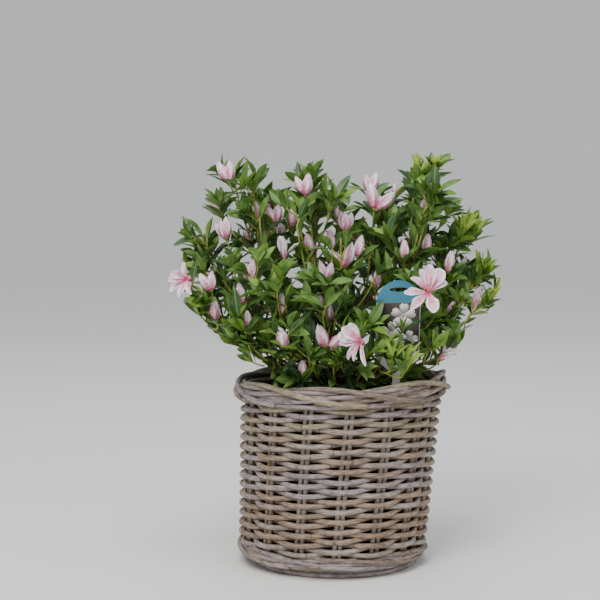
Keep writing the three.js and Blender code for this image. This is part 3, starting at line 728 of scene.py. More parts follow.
# How the tones are dealt out: the wall's rods came in batches, one above the other
TONE_SHARES = {
    "border": {"lilac": 0.26, "grey": 0.40, "tan": 0.14, "straw": 0.10, "umber": 0.10},
    "foot": {"lilac": 0.42, "grey": 0.42, "tan": 0.05, "straw": 0.05, "umber": 0.06},
    "low": {"lilac": 0.12, "grey": 0.38, "tan": 0.32, "straw": 0.06, "umber": 0.12},
    "middle": {"lilac": 0.42, "grey": 0.42, "tan": 0.06, "straw": 0.04, "umber": 0.06},
    "high": {"lilac": 0.12, "grey": 0.36, "tan": 0.18, "straw": 0.24, "umber": 0.10},
}
BATCHES = {"low": 0.34, "middle": 0.62, "high": 1.1}
TONES = list(RATTAN_TONES)
STAKE_TONES = ("grey", "tan", "grey", "straw")
JOINT_SLOT = len(TONES)


def rattan_set(name, stretch):
    """The five tones of rod and the dark skin of their joints."""
    tones = [rattan_finish(f"{name}_{tone}", *RATTAN_TONES[tone], stretch) for tone in TONES]
    return [*tones, rattan_finish(f"{name}_joint", "#a08d7b", "#7d6c5d", "#5a4b40", stretch)]


def rod_tone(part, random):
    shares = TONE_SHARES[part]
    place = int(np.searchsorted(np.cumsum(list(shares.values())), random()))
    return TONES.index(list(shares)[min(place, len(TONES) - 1)])


# The basket


def add_rod(piece, path_at, start, end, steps, radius, sides, tone, random):
    """A round rod along a path, with the swollen dark joints that rattan has every hand or two."""
    stations = np.linspace(start, end, steps)
    length = np.linalg.norm(np.diff(path_at(stations), axis=0), axis=1).sum()
    per_metre = (end - start) / length
    half = JOINT_HALF * per_metre
    swells = {s: 1.0 for s in stations}
    at = mix(0.0, JOINT_EVERY[1], random())
    while at < length - JOINT_LAST:
        joint = start + at * per_metre
        swells = {s: swell for s, swell in swells.items() if abs(s - joint) >= JOINT_CLEAR * half}
        swells |= {joint - half: JOINT_EDGE, joint: JOINT_SWELL, joint + half: JOINT_EDGE}
        at += within(JOINT_EVERY, random())
    stations = np.array(sorted(swells))
    swell = np.array([swells[s] for s in stations])
    points = tube_points(path_at(stations), radius * swell, sides)
    bands = [JOINT_SLOT if JOINT_SWELL in pair else tone for pair in zip(swell, swell[1:])]
    slots = [band for band in bands for _ in range(sides)]
    piece.add(points, tube_faces(len(stations), sides), slots + [tone, tone])


def weaver_path(s):
    """The centre of a weaver after s passes: outside the stake at even passes and inside at odd ones. Its
    first and last rounds lie level against the borders."""
    low = FOOT_BORDER_TOP + GAP + ROD_HEIGHT / 2
    high = RIM_BORDER_LOW - GAP - ROD_HEIGHT / 2
    z = np.clip(mix(low, high, s / (STAKES * ROUNDS)), low - BORDER_TUCK, high + BORDER_TUCK)
    swing = np.cos(math.pi * s)
    radius = stake_circle(z) + mix(-PASS_INSIDE, PASS_OUTSIDE, (swing + 1) / 2)
    angle = stake_angle(s + STAKES // 2, z)
    ripple = sum(size * np.sin(pace * s) for size, pace in ROD_RIPPLES) - PASS_DROOP * swing
    return askew(np.stack((radius * np.cos(angle), radius * np.sin(angle), z + ripple), axis=-1))


def basket_weave():
    """Each rod passes an even number of stakes, and the next one starts beside its end."""
    piece = Piece()
    random = random_source(SEEDS["weave"])
    start = -STAKES
    top = STAKES * (ROUNDS + 1)
    while start < top:
        end = min(start + 2 * int(within(ROD_PASSES, random()) / 2), top + 1)
        batch = next(name for name, limit in BATCHES.items() if start / (STAKES * ROUNDS) < limit)
        tone = rod_tone(batch, random)
        first = max(start - ROD_END, -STAKES)
        last = min(end + ROD_END, top)
        steps = max(3, int((last - first) * PASS_STEPS))
        radius = ROD_RADIUS * within(ROD_THICKNESS, random())
        add_rod(piece, weaver_path, first, last, steps, radius, ROD_SIDES, tone, random)
        start = end
    piece.build("woven_rods", rattan_set("rattan_rod", (1, 1, 7)), "rattan_weave", ["basket_weave"])


def basket_stakes(piece):
    """Pairs of upright rods, each a little out of true."""
    random = random_source(SEEDS["stakes"])
    low = FOOT_BORDER_TOP - STAKE_TUCK["foot"]
    high = RIM_BORDER_LOW + STAKE_TUCK["rim"]
    for i in range(STAKES):
        tone = TONES.index(one_of(STAKE_TONES, random))
        for side in (-1, 1):
            path_at = stake_path(i, side, [give(STAKE_SWAY["most"], random) for _ in range(3)])
            add_rod(piece, path_at, low, high, STAKE_STEPS, STAKE_ROD_RADIUS, STAKE_SIDES, tone, random)


def stake_path(i, side, sway):
    def path_at(heights):
        bend = sway[0] * np.sin(STAKE_SWAY["long"] * heights)
        bend += sway[1] * np.sin(STAKE_SWAY["short"] * heights + STAKE_SWAY["shift"] * sway[2])
        angle = stake_angle(i, heights)
        out = np.stack((np.cos(angle), np.sin(angle), 0 * angle), axis=-1)
        aside = np.stack((-np.sin(angle), np.cos(angle), 0 * angle), axis=-1)
        reach = (stake_circle(heights) + STAKE_PROUD)[:, None]
        across = (side * STAKE_ROD_SPREAD + bend)[:, None]
        return askew(reach * out + across * aside + np.outer(heights, UP))

    return path_at


def border_path(border, layer, start):
    middle = (border["low"] + border["high"]) / 2
    half_height = (border["high"] - border["low"]) / 2

    def path_at(s):
        angle = start + math.radians(layer["span"]) * s
        eased = mix(s, 3 * s**2 - 2 * s**3, BORDER_EASE)
        turn = np.radians(mix(layer["turns"][0], layer["turns"][1], eased))
        depth = np.interp(s, (0, 0.5, 1), layer["depth"])
        radius = border["radius"] + border["half_width"] * depth * np.cos(turn)
        z = middle + half_height * depth * np.sin(turn)
        return askew(np.stack((radius * np.cos(angle), radius * np.sin(angle), z), axis=-1))

    return path_at


def add_border(piece, border, layers, part, seed):
    """Layers of rods of about a third of the way round, each with some give in its place and thickness."""
    random = random_source(seed)
    for number, layer in enumerate(layers):
        for i in range(layer["rods"]):
            place = i + LAYER_SHIFT * number + give(BORDER_GIVE["start"], random)
            loose = {**layer, "span": layer["span"] * within(BORDER_GIVE["span"], random())}
            loose["turns"] = [turn + give(BORDER_GIVE["turn"], random) for turn in layer["turns"]]
            thick = layer["thick"] * within(BORDER_GIVE["thick"], random())
            tone = rod_tone(part, random)
            path_at = border_path(border, loose, 2 * math.pi * place / layer["rods"])
            add_rod(piece, path_at, 0.0, 1.0, BORDER_ROD_STEPS, thick, BORDER_ROD_SIDES, tone, random)


def basket_rim():
    piece = Piece()
    basket_stakes(piece)
    add_border(piece, RIM, [RIM_CORE, *RIM_LAYERS], "border", SEEDS["rim"])
    finishes = rattan_set("rattan_border", (1, 1, 5))
    piece.build("plaited_rim_and_stakes", finishes, "rattan_rim", ["basket_stakes_and_rim"])


def basket_foot():
    piece = Piece()
    add_border(piece, FOOT, [FOOT_CORE, *FOOT_LAYERS], "foot", SEEDS["foot"])
    finishes = rattan_set("rattan_foot_rod", (1, 1, 5))
    piece.build("plaited_foot", finishes, "rattan_foot", ["basket_foot_border"])


def ring_path(radius, z, swing=0.0, waves=0):
    def path_at(s):
        angle = 2 * math.pi * s
        height = z + swing * np.cos(waves * angle)
        return np.stack((radius * np.cos(angle), radius * np.sin(angle), height), axis=-1)

    return path_at


def spoke_path(direction):
    reach = BASE_RADIUS - SPOKE["short_of_edge"]

    def path_at(s):
        return np.outer(mix(-reach, reach, s), direction) + np.outer(np.full_like(s, BASE_MIDDLE), UP)

    return path_at


def basket_underside():
    """The base is woven too, from rings of rod that pass over and under the spokes."""
    piece = Piece()
    random = random_source(SEEDS["base"])

    def add_base_rod(path_at, steps, thick, sides, part):
        add_rod(piece, path_at, 0.0, 1.0, steps, thick, sides, rod_tone(part, random), random)

    for i in range(SPOKES // 2):
        path_at = spoke_path(outward(math.pi * i / (SPOKES / 2)))
        add_base_rod(path_at, SPOKE["steps"], SPOKE["thick"], BASE_ROD_SIDES, "low")
    radius = BASE_WEAVE["from"]
    while radius < BASE_RADIUS - BASE_WEAVE["short_of_edge"]:
        waves = SPOKES if radius >= BASE_DENSE_FROM else SPOKES // 2
        swing = BASE_WEAVE["swing"] * (1 if random() < 0.5 else -1)
        path_at = ring_path(radius, BASE_MIDDLE, swing, waves)
        add_base_rod(path_at, 3 * waves, BASE_WEAVE["thick"], BASE_ROD_SIDES, "low")
        radius += BASE_WEAVE["step"]
    for radius, z, thick in BASE_RINGS:
        add_base_rod(ring_path(radius, z), BASE_RING_STEPS, thick, BASE_RING_SIDES, "foot")
    piece.build("woven_base", rattan_set("rattan_base_rod", (1, 1, 3)), "rattan_base", ["basket_base"])


# Liner and soil


def liner_radius(z):
    return stake_circle(z) - WALL_INSIDE - LINER_CLEAR


def finish_liner():
    finish = Finish("planter_liner", 0.65, 0.3)
    creases = finish.noise(30, (1, 1, 3), 4)
    finish.bump(creases, 0.002, 0.5)
    finish.rough(creases, 0.5, 0.8)
    material = finish.paint(finish.ramp(creases, [(0.3, "#0d0b0a"), (0.7, "#241f1c")]))
    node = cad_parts["pot_liner"]
    node.data.materials.clear()
    node.data.materials.append(material)


def soil_surface():
    """A rough fill with peat crumbs and scraps of bark on top."""
    piece = Piece()
    random = random_source(SEEDS["soil"])
    sides = SOIL["sides"]
    edge = liner_radius(SOIL_TOP) - LINER_WALL - 2 * GAP
    points = [(PLANT_X, 0.0, SOIL_TOP - SOIL["middle"])]
    for i in range(1, SOIL["rings"] + 1):
        for angle in turns_round(sides):
            reach = edge * i / SOIL["rings"]
            first, second = [a * reach + b * angle for a, b in zip(SOIL_WAVES["out"], SOIL_WAVES["round"])]
            bumps = SOIL["bumps"] * math.sin(first) * math.cos(second)
            z = SOIL_TOP - SOIL["sunk"] + bumps + give(SOIL["grain"], random)
            points.append((PLANT_X + reach * math.cos(angle), reach * math.sin(angle), z))
    low = BASE_HEIGHT + LINER_WALL + GAP
    low_edge = liner_radius(low) - LINER_WALL - 2 * GAP
    foot_x = askew([(0, 0, low)])[0][0]
    for angle in turns_round(sides):
        points.append((foot_x + low_edge * math.cos(angle), low_edge * math.sin(angle), low))
    underside = tuple(range(len(points) - 1, len(points) - 1 - sides, -1))
    piece.add(np.array(points), [*disc_faces(SOIL["rings"] + 1, sides), underside])
    for _ in range(CRUMBS["count"]):
        reach = edge * CRUMBS["reach"] * math.sqrt(random())
        angle = 2 * math.pi * random()
        centre = np.array((PLANT_X, 0, SOIL_TOP - CRUMBS["sunk"])) + reach * outward(angle)
        add_crumb(piece, centre, within(CRUMBS["sizes"], random() ** 2), random)
    piece.build("soil_fill", [peat_finish(), scrap_finish()], "soil", ["soil"])


def peat_finish():
    stops = [(0.3, "#120c08"), (0.5, "#2a1e16"), (0.72, "#4a382a")]
    return grained("potting_soil", 0.95, 0.2, (420, (1, 1, 1), 8), (0.0016,), stops)


def scrap_finish():
    return grained("soil_bark", 0.9, 0.2, (300, (1, 1, 1), 6), None, [(0.35, "#2b1b11"), (0.65, "#5c422d")])


CRUMB_FACES = [(0, 1, 2), (0, 2, 3), (0, 3, 4), (0, 4, 1), (5, 2, 1), (5, 3, 2), (5, 4, 3), (5, 1, 4)]


def add_crumb(piece, centre, size, random):
    turn = 2 * math.pi * random()
    corners = [UP * size * CRUMBS["tall"]]
    for i in range(4):
        side = outward(turn + i * math.pi / 2 + CRUMBS["turn"] * random())
        corners.append(side * size * within(CRUMBS["wide"], random()))
    corners.append(UP * -size * CRUMBS["tall"])
    piece.add(centre + np.array(corners), CRUMB_FACES, 1 if random() < CRUMBS["bark"] else 0)


# The plant: the rule of its solids


class Curve:
    """A cubic curve from the foot of a limb to the tip of its spray."""

    def __init__(self, foot, start, bend, tip):
        self.corners = np.array((foot, start, bend, tip))

    def at(self, t):
        t = np.asarray(t, float)[..., None]
        a, b, c, d = self.corners
        return a * (1 - t) ** 3 + 3 * b * t * (1 - t) ** 2 + 3 * c * t**2 * (1 - t) + d * t**3

    def pace(self, t):
        step = 1e-4
        return (self.at(t + step) - self.at(t)) / step


class Spray:
    """A foliage mass and the bough that carries it, from a row of SPRAYS."""

    def __init__(self, name, azimuth, reach, height, tip, seed):
        self.name = name
        self.azimuth = azimuth
        self.reach = reach
        self.height = height
        self.tip = tip
        self.seed = seed


sprays = [Spray(*row) for row in SPRAYS]


def foot_of(spray):
    """The boughs stand in two rings on the stem's head, in the order of their azimuths."""
    inner = spray.reach < INNER_REACH
    ring = sorted((s for s in sprays if (s.reach < INNER_REACH) == inner), key=lambda s: s.azimuth)
    place = ring.index(spray) / len(ring)
    foot = INNER_FOOT if inner else OUTER_FOOT
    angle = math.radians(-180) + 2 * math.pi * place + math.radians(foot["turn"])
    head = np.array((PLANT_X, 0, SOIL_TOP + TRUNK_HEIGHT + 2 * GAP))
    return head + outward(angle) * foot["ring"]


def limb_curve(spray):
    foot = foot_of(spray)
    out = outward(math.radians(spray.azimuth))
    rise = spray.height - foot[2]

    def place(reach, height):
        return np.array((PLANT_X, 0, foot[2] + height)) + out * reach

    start_reach = LIMB_START["reach"] + LIMB_START["reach_share"] * spray.reach
    start_rise = LIMB_START["rise"] + LIMB_START["rise_share"] * rise
    bend = place(LIMB_BEND["reach_share"] * spray.reach, LIMB_BEND["rise_share"] * rise)
    return Curve(foot, place(start_reach, start_rise), bend, place(spray.reach, rise))


for spray in sprays:
    spray.curve = limb_curve(spray)
    spray.path = spray.curve.at(np.linspace(0, 1, LIMB_STEPS + 1))
    spray.bough_path = spray.curve.at(np.linspace(0, BOUGH_SHARE, LEADER_STEPS + 1))
    pace = spray.curve.pace(BOUGH_SHARE)
    spray.leader_from = BOUGH_SHARE + GAP / math.sqrt(pace @ pace)
    spray.leader = spray.curve.at(np.linspace(spray.leader_from, 1, LEADER_STEPS + 1))

PATH_STARTS = np.array([spray.path[:-1] for spray in sprays])
PATH_STEPS = np.array([np.diff(spray.path, axis=0) for spray in sprays])


def distances(point, starts, steps):
    """The distance from a point to each row of segments."""
    offset = point - starts
    share = np.clip((offset * steps).sum(-1) / (steps * steps).sum(-1), 0, 1)
    gap = offset - share[..., None] * steps
    return np.sqrt((gap * gap).sum(-1)).min(-1)


def clear_of_pot(point):
    radius = math.hypot(point[0] - RIM_CENTRE_X, point[1])
    over_rim = point[2] > POT_HEIGHT + RIM_MARGIN
    inside = RIM_RADIUS - RIM_THICKNESS - RIM_MARGIN
    return over_rim or (radius < inside and point[2] > SOIL_TOP + RIM_MARGIN)


def tag_matrix():
    """The tag leans forward about its foot and then turns about the vertical."""
    lean = Matrix.Rotation(math.radians(TAG["tilt"]), 3, "X")
    spin = Matrix.Rotation(math.radians(TAG["turn"]), 3, "Z")
    return np.array(spin) @ np.array(lean)


TAG_AXES = tag_matrix()
TAG_FOOT = np.array((TAG["x"], TAG["y"], SOIL_TOP))


def clear_of_tag(start, end):
    """A straight piece of leaf or twig may not pass through the tag or brush against it."""
    a = (start - TAG_FOOT) @ TAG_AXES
    b = (end - TAG_FOOT) @ TAG_AXES

    def beside(p, margin):
        return abs(p[0]) > TAG["width"] / 2 + margin

    def above(p, margin):
        return p[2] > TAG["top"] + margin

    def far(p):
        return abs(p[1]) > TAG_CLEAR["face"] or beside(p, TAG_CLEAR["edge"]) or above(p, TAG_CLEAR["edge"])

    if not far(a) or not far(b):
        return False
    if a[1] * b[1] > 0:
        return True
    crossing = a + (b - a) * (abs(a[1]) / (abs(a[1]) + abs(b[1])))
    return beside(crossing, TAG_CLEAR["beside"]) or above(crossing, TAG_CLEAR["above"])


def in_own_space(point, spray):
    """Each spray keeps to the space that lies nearer to its own limb than to any other."""
    gaps = distances(point, PATH_STARTS, PATH_STEPS)
    number = sprays.index(spray)
    own = gaps[number]
    other = np.delete(gaps, number).min()
    from_bough = distances(point, spray.bough_path[:-1], np.diff(spray.bough_path, axis=0))
    return other > max(own + SPACE_MARGIN, LIMB_MARGIN) and from_bough > LIMB_MARGIN


def fits(path, spray):
    return all(
        clear_of_tag(path[i], path[i + 1])
        and clear_of_pot(path[i + 1])
        and in_own_space(path[i + 1], spray)
        for i in range(len(path) - 1)
    )


def path_length(path):
    return float(np.linalg.norm(np.diff(path, axis=0), axis=1).sum())


def on_path(path, share):
    """The place and the heading at a share of the length of a row of points."""
    lengths = np.linalg.norm(np.diff(path, axis=0), axis=1)
    left = share * lengths.sum()
    i = 0
    while i < len(path) - 2 and left > lengths[i]:
        left -= lengths[i]
        i += 1
    axis = unit(path[i + 1] - path[i])
    return path[i] + axis * left, axis


def leaning(axis, lean, turn):
    """A direction that leans away from an axis by an angle, turned about it by another."""
    side = unit(np.cross((0.0, 1.0, 0.0), axis))
    front = np.cross(axis, side)
    away = side * math.cos(turn) + front * math.sin(turn)
    return unit(axis * math.cos(lean) + away * math.sin(lean))


class Blade:
    """A leaf, bud or petal of the solids: a root, a direction, the side that it faces and a size."""

    def __init__(self, root, direction, normal, length, width):
        self.root = root
        self.direction = direction
        self.normal = normal
        self.length = length
        self.width = width

    def middle(self):
        return self.root + self.direction * BLADE_WIDEST * self.length

    def outline(self):
        across = unit(np.cross(self.direction, self.normal)) * self.width / 2
        tip = self.root + self.direction * self.length
        return [self.root, self.middle() + across, tip, self.middle() - across, self.middle()]


def rule_leaf(root, axis, lean, turn, random):
    length = LEAF_LENGTH * within(LEAF_SIZE, random())
    return Blade(root, leaning(axis, lean, turn), axis, length, LEAF_WIDTH)


def shoot_leaves(shoot, spray, random):
    phase = math.floor(LEAF_SIDES * random())

    def side_turn(i):
        return math.radians(360 * (phase + i + 0.5) / LEAF_SIDES + within(LEAF_SWAY, random()))

    leaves = []
    count = math.floor((1 - LEAF_SPAN[0]) * path_length(shoot) / LEAF_STEP)
    for i in range(count):
        point, axis = on_path(shoot, within(LEAF_SPAN, i / count))
        lean = math.radians(within(LEAF_LEAN, random()))
        leaves.append(rule_leaf(point, axis, lean, side_turn(i), random))
    tip, axis = on_path(shoot, 1)
    for i in range(WHORL):
        root = tip - axis * (i + 1) * WHORL_STEP
        lean = math.radians(within(WHORL_LEAN, random()))
        leaves.append(rule_leaf(root, axis, lean, side_turn(i + count), random))
    return [leaf for leaf in leaves if fits(leaf.outline(), spray)]


def rule_bud(tip, axis, lean, turn, random):
    length = BUD_LENGTH * within(BUD_SIZE, random())
    normal = leaning(axis, math.pi / 2, turn)
    return Blade(tip - axis * BUD_SUNK, leaning(axis, lean, turn), normal, length, 2 * BUD_RADIUS)


def shoot_buds(shoot, spray, random):
    tip, axis = on_path(shoot, 1)
    roll = random()
    if spray.tip == "young" or roll > BUD_SHARE:
        return []
    turn = 2 * math.pi * random()
    pair = roll < BUD_SHARE / 3
    buds = [rule_bud(tip, axis, math.radians(PAIR_LEANS[0] if pair else BUD_LEAN), turn, random)]
    if pair:
        buds.append(rule_bud(tip, axis, math.radians(PAIR_LEANS[1]), turn + math.pi, random))
    return [bud for bud in buds if fits(bud.outline(), spray)]


def side_shoot(spray, share, turn, random):
    start, axis = on_path(spray.leader, share)
    away = leaning(axis, math.radians(within(SHOOT_LEAN, random())), turn)
    rising = unit(away * SHOOT_RISING["away"] + UP * SHOOT_RISING["up"])
    leader_left = path_length(spray.leader) * (1 - share)
    length = max(SHOOT_LEAST, leader_left * within(SHOOT_SHARE, random()))
    bend = start + away * SHOOT_BEND * length
    return np.array((start, bend, bend + rising * (1 - SHOOT_BEND) * length))


def grow(spray):
    """The shoots, leaves and buds of a spray's solid."""
    random = random_source(spray.seed)
    spray.shoots = [spray.leader]
    count = max(SHOOTS_LEAST, round(path_length(spray.leader) / SHOOT_SPACING))
    for i in range(count):
        share = within(SHOOT_SPAN, i / count)
        for attempt in range(SHOOT_TRIES):
            turn = (i + 1) * GOLDEN_ANGLE + attempt * TRY_TURN + random()
            shoot = side_shoot(spray, share, turn, random)
            if fits(shoot, spray):
                spray.shoots.append(shoot)
                break
    spray.leaves = []
    for number, shoot in enumerate(spray.shoots):
        for leaf in shoot_leaves(shoot, spray, random):
            middle = leaf.middle()
            if all(np.linalg.norm(other.middle() - middle) > LEAF_APART for _, other in spray.leaves):
                spray.leaves.append((number, leaf))
    budding = spray.shoots[1:] if spray.tip == "open" else spray.shoots
    spray.buds = [bud for shoot in budding for bud in shoot_buds(shoot, spray, random)]


# The plant: leaves, buds and flowers of the real size

BLOOM_PLACES = np.array([(column, row - SIGHT_RISE) for kind, column, row, _ in BLOOMS if kind in SIGHTS])
BLOOM_SPACES = np.array([SIGHTS[kind] for kind, *_ in BLOOMS if kind in SIGHTS])
BLOOM_DEPTHS = np.array([y for kind, _, _, y in BLOOMS if kind in SIGHTS])

OLD, MID, FRESH, YOUNG, RIB = range(5)
# A leaf's outline: how far along each row is, and half the leaf's width there
LEAF_ROWS = [(0.18, 0.46), (0.42, 0.94), (0.64, 0.94), (0.85, 0.50)]
LEAF_CURLS = (0.02, 0.1, 0.2)
LEAF_TWISTS = (-0.5, 0.0, 0.5)
LEAF_FOLDS = (0.3, 0.6)
LEAF_LIFT = 0.2
RIB_HALF = 0.06


@lru_cache(maxsize=None)
def leaf_shape(curl, fold, twist):
    """A leaf of unit length and half width: blades either side of a narrow rib, folded up along it."""
    points = [(-RIB_HALF, 0.0, 0.0), (RIB_HALF, 0.0, 0.0)]
    for t, half in LEAF_ROWS:
        drop = -curl * t * t
        lift = LEAF_LIFT * fold * half
        roll = LEAF_LIFT * twist * t * half
        points += [(-half, t, drop + lift - roll), (-RIB_HALF, t, drop)]
        points += [(RIB_HALF, t, drop), (half, t, drop + lift + roll)]
    points.append((0.0, 1.0, -curl))
    faces = [(0, 1, 4, 3), (0, 3, 2), (1, 5, 4)]
    rib_faces = [0]
    for row in range(len(LEAF_ROWS) - 1):
        a = 2 + 4 * row
        rib_faces.append(len(faces) + 1)
        faces += [(a + j, a + j + 1, a + j + 5, a + j + 4) for j in range(3)]
    last = len(points) - 1
    rib_faces.append(len(faces) + 1)
    faces += [(last - 4 + j, last - 3 + j, last) for j in range(3)]
    return np.array(points), faces, tuple(rib_faces)


@lru_cache(maxsize=None)
def leaf_slots(tone, faces, rib_faces):
    return [RIB if i in rib_faces else tone for i in range(faces)]


def placed(points, root, direction, normal, length, width):
    across = unit(np.cross(normal, direction))
    face = np.cross(direction, across)
    scale = points * np.array((width / 2, length, length))
    return root + scale @ np.array((across, direction, face))


def add_leaf(leaves, root, direction, normal, length, width, tone, random):
    curl = one_of(LEAF_CURLS, random)
    twist = one_of(LEAF_TWISTS, random)
    points, faces, rib_faces = leaf_shape(curl, one_of(LEAF_FOLDS, random), twist)
    shape = placed(points, root, direction, normal, length, width)
    leaves.add(shape, faces, leaf_slots(tone, len(faces), rib_faces))


WHITE, BLUSH, PINK, ROSE, GREEN, ANTHER = range(6)

# A folded petal of a bud: how far up each row is, how wide the bud is there and the colours across it
BUD_ROWS = [(0.0, 0.30), (0.12, 0.64), (0.32, 0.95), (0.52, 1.0), (0.72, 0.80), (0.88, 0.47), (1.0, 0.13)]
BUD_COLOURS = [
    (ROSE, ROSE, ROSE, ROSE),
    (PINK, ROSE, PINK, BLUSH),
    (BLUSH, PINK, PINK, WHITE),
    (WHITE, PINK, BLUSH, WHITE),
    (WHITE, BLUSH, WHITE, WHITE),
    (WHITE, WHITE, WHITE, WHITE),
]
BUD_COLUMNS = 5
BUD_PETALS = 5
BUD_WRAP = 128
BUD_WRAP_SHARE = (1, 0.8)
BUD_SPIRAL = 34
BUD_OVERLAP = {"under": 0.94, "over": 0.09}
BUD_SHOULDER = 0.1
BUD_TALL = (0.86, 0.93, 1.0)
BUD_SLACK = (0.0, 0.12)
BUD_STARTS = (0, 24, 48)
BUD_CORE = ((0.02, 0.3), (0.3, 0.84), (0.6, 0.86), (0.84, 0.5), (0.9, 0.2))
BUD_CORE_SIDES = 8


@lru_cache(maxsize=None)
def panel_faces(rows, columns):
    """The faces of a panel of points, row by row."""
    corners = [columns * i + j for i in range(rows - 1) for j in range(columns - 1)]
    return [(a + 1, a + columns + 1, a + columns, a) for a in corners]


@lru_cache(maxsize=None)
def bud_petal(start, tall, slack):
    """One petal of a tight bud: a panel wrapped part of the way round it, over the next one's edge."""
    points = []
    for t, radius in BUD_ROWS:
        for j in range(BUD_COLUMNS):
            across = j / (BUD_COLUMNS - 1)
            wrap = BUD_WRAP * (across - 0.5) * within(BUD_WRAP_SHARE, t)
            angle = math.radians(start + wrap + BUD_SPIRAL * t)
            reach = radius * (1 + slack * t) * (BUD_OVERLAP["under"] + BUD_OVERLAP["over"] * across)
            rise = tall * (t - BUD_SHOULDER * t**4 * abs(2 * across - 1))
            points.append((reach * math.cos(angle), rise, reach * math.sin(angle)))
    faces = [face[::-1] for face in panel_faces(len(BUD_ROWS), BUD_COLUMNS)]
    return np.array(points), faces, [tone for row in BUD_COLOURS for tone in row]


def add_bud(blooms, root, direction, normal, length, radius, random):
    """Five folded petals of unequal height round a full core, on a small green calyx."""
    across = unit(np.cross(normal, direction))
    axes = np.array((across, direction, np.cross(direction, across)))
    start = one_of(BUD_STARTS, random)
    for i in range(BUD_PETALS):
        tall = one_of(BUD_TALL, random)
        slack = one_of(BUD_SLACK, random)
        points, faces, slots = bud_petal(start + 360 * i / BUD_PETALS, tall, slack)
        blooms.add(root + (points * np.array((radius, length, radius))) @ axes, faces, slots)
    core = [root + direction * length * t for t, _ in BUD_CORE]
    add_tube(blooms, core, [radius * r for _, r in BUD_CORE], BUD_CORE_SIDES, BLUSH)
    cup = [root - direction * CALYX["half"], root + direction * CALYX["half"]]
    add_tube(blooms, cup, [radius * width for width in CALYX["widths"]], CALYX["sides"], GREEN)


# A petal's outline: how far along each row is, and half the petal's width there
PETAL_ROWS = [(0.0, 0.20), (0.14, 0.36), (0.32, 0.66), (0.52, 0.96)]
PETAL_ROWS += [(0.70, 1.0), (0.86, 0.74), (0.96, 0.40)]
PETAL_COLUMNS = (-1.0, -0.55, 0.0, 0.55, 1.0)
# The colours across each row of a petal
PETAL_COLOURS = [
    (PINK, ROSE, ROSE, PINK),
    (BLUSH, PINK, PINK, BLUSH),
    (WHITE, PINK, PINK, WHITE),
    (WHITE, BLUSH, BLUSH, WHITE),
    (WHITE, BLUSH, BLUSH, WHITE),
    (WHITE, WHITE, WHITE, WHITE),
]
PETAL_SHAPES = 6
PETAL_CUPS = (0.1, 0.2)
PETAL_RATIO_GIVE = (0.9, 1.1)
WAVE_ALONG = 0.4


@lru_cache(maxsize=None)
def petal_shape(curl, cup, ruffle, seed):
    """A petal: a pink band up the middle, wavy white margins and a rose base. It curls back by degrees."""
    random = random_source(seed)
    points = []
    for t, half in PETAL_ROWS:
        bend = math.radians(curl) * t
        along = t if curl == 0 else math.sin(bend) / math.radians(curl)
        drop = 0 if curl == 0 else (1 - math.cos(bend)) / math.radians(curl)
        for c in PETAL_COLUMNS:
            wave = ruffle * give(1, random) * abs(c) * t
            across = c * half * within(PETAL_RATIO_GIVE, random())
            points.append((across, along + WAVE_ALONG * wave, cup * c * c * half - drop + wave))
    faces = [(d, a, b, c) for a, b, c, d in panel_faces(len(PETAL_ROWS), len(PETAL_COLUMNS))]
    return np.array(points), faces, [tone for row in PETAL_COLOURS for tone in row]


def add_petal(blooms, root, direction, normal, length, width, curl, ruffle, random):
    seed = 1 + int(PETAL_SHAPES * random())
    points, faces, slots = petal_shape(curl, one_of(PETAL_CUPS, random), ruffle, seed)
    blooms.add(placed(points, root, direction, normal, length, width), faces, slots)


def add_flower(blooms, tip, facing, petals, random):
    """An open flower with petals of several shapes round a rose throat, and a few stamens."""
    for turn, lean, length, ratio, curl in petals:
        direction = leaning(facing, math.radians(lean + give(PETAL_GIVE, random)), math.radians(turn))
        root = tip + direction * THROAT["radius"] * THROAT["petals_at"]
        add_petal(blooms, root, direction, facing, length, length * ratio, curl, RUFFLE, random)
    middle = tip - facing * THROAT["middle"] * THROAT["length"]
    throat = [tip - facing * THROAT["length"], middle, tip + facing * THROAT["lip"]]
    add_tube(blooms, throat, [THROAT["radius"] * r for r in THROAT["widths"]], THROAT["sides"], ROSE)
    for i in range(STAMENS["count"]):
        lean = math.radians(within(STAMENS["leans"], random()))
        direction = leaning(facing, lean, math.radians(STAMENS["from"] + STAMENS["apart"] * i))
        end = tip + direction * STAMENS["length"] * within(STAMENS["give"], random())
        bow = (tip + end) / 2 + facing * STAMENS["bow"]
        add_tube(blooms, [tip, bow, end], STAMEN_RADII, STAMENS["sides"], PINK)
        add_tube(blooms, [end, end + direction * ANTHER_LENGTH], ANTHER_RADII, STAMENS["sides"], ANTHER)


def add_half_open(blooms, tip, axis, size, random):
    """An opening bud: one petal leans out and the others still stand together like a vase."""
    start = 2 * math.pi * random()
    for i in range(PETALS):
        lean = OPENING["out"] if i == 0 else within(OPENING["together"], random())
        direction = leaning(axis, math.radians(lean), start + 2 * math.pi * i / PETALS)
        length = size * within(OPENING["lengths"], random())
        curl = OPENING["curl"] if i == 0 else 0
        width = length * OPENING["ratio"]
        add_petal(blooms, tip, direction, axis, length, width, curl, OPENING["ruffle"], random)
    heart = leaning(axis, math.pi / 2, start)
    add_bud(blooms, tip, axis, heart, size * OPENING["heart"], OPENING["heart_radius"], random)


def bezier(points, steps):
    """A smooth path from the first point to the last, drawn towards the one between."""
    t = np.linspace(0, 1, steps + 1)[:, None]
    a, b, c = points
    return a * (1 - t) ** 2 + 2 * b * t * (1 - t) + c * t**2


WOOD, GREEN_WOOD = 0, 1


class Growth:
    """The joined pieces that the whole plant is drawn into, and every shoot that a bloom may grow from."""

    def __init__(self):
        self.twigs = Piece()
        self.leaves = Piece()
        self.blooms = Piece()
        self.paths = []


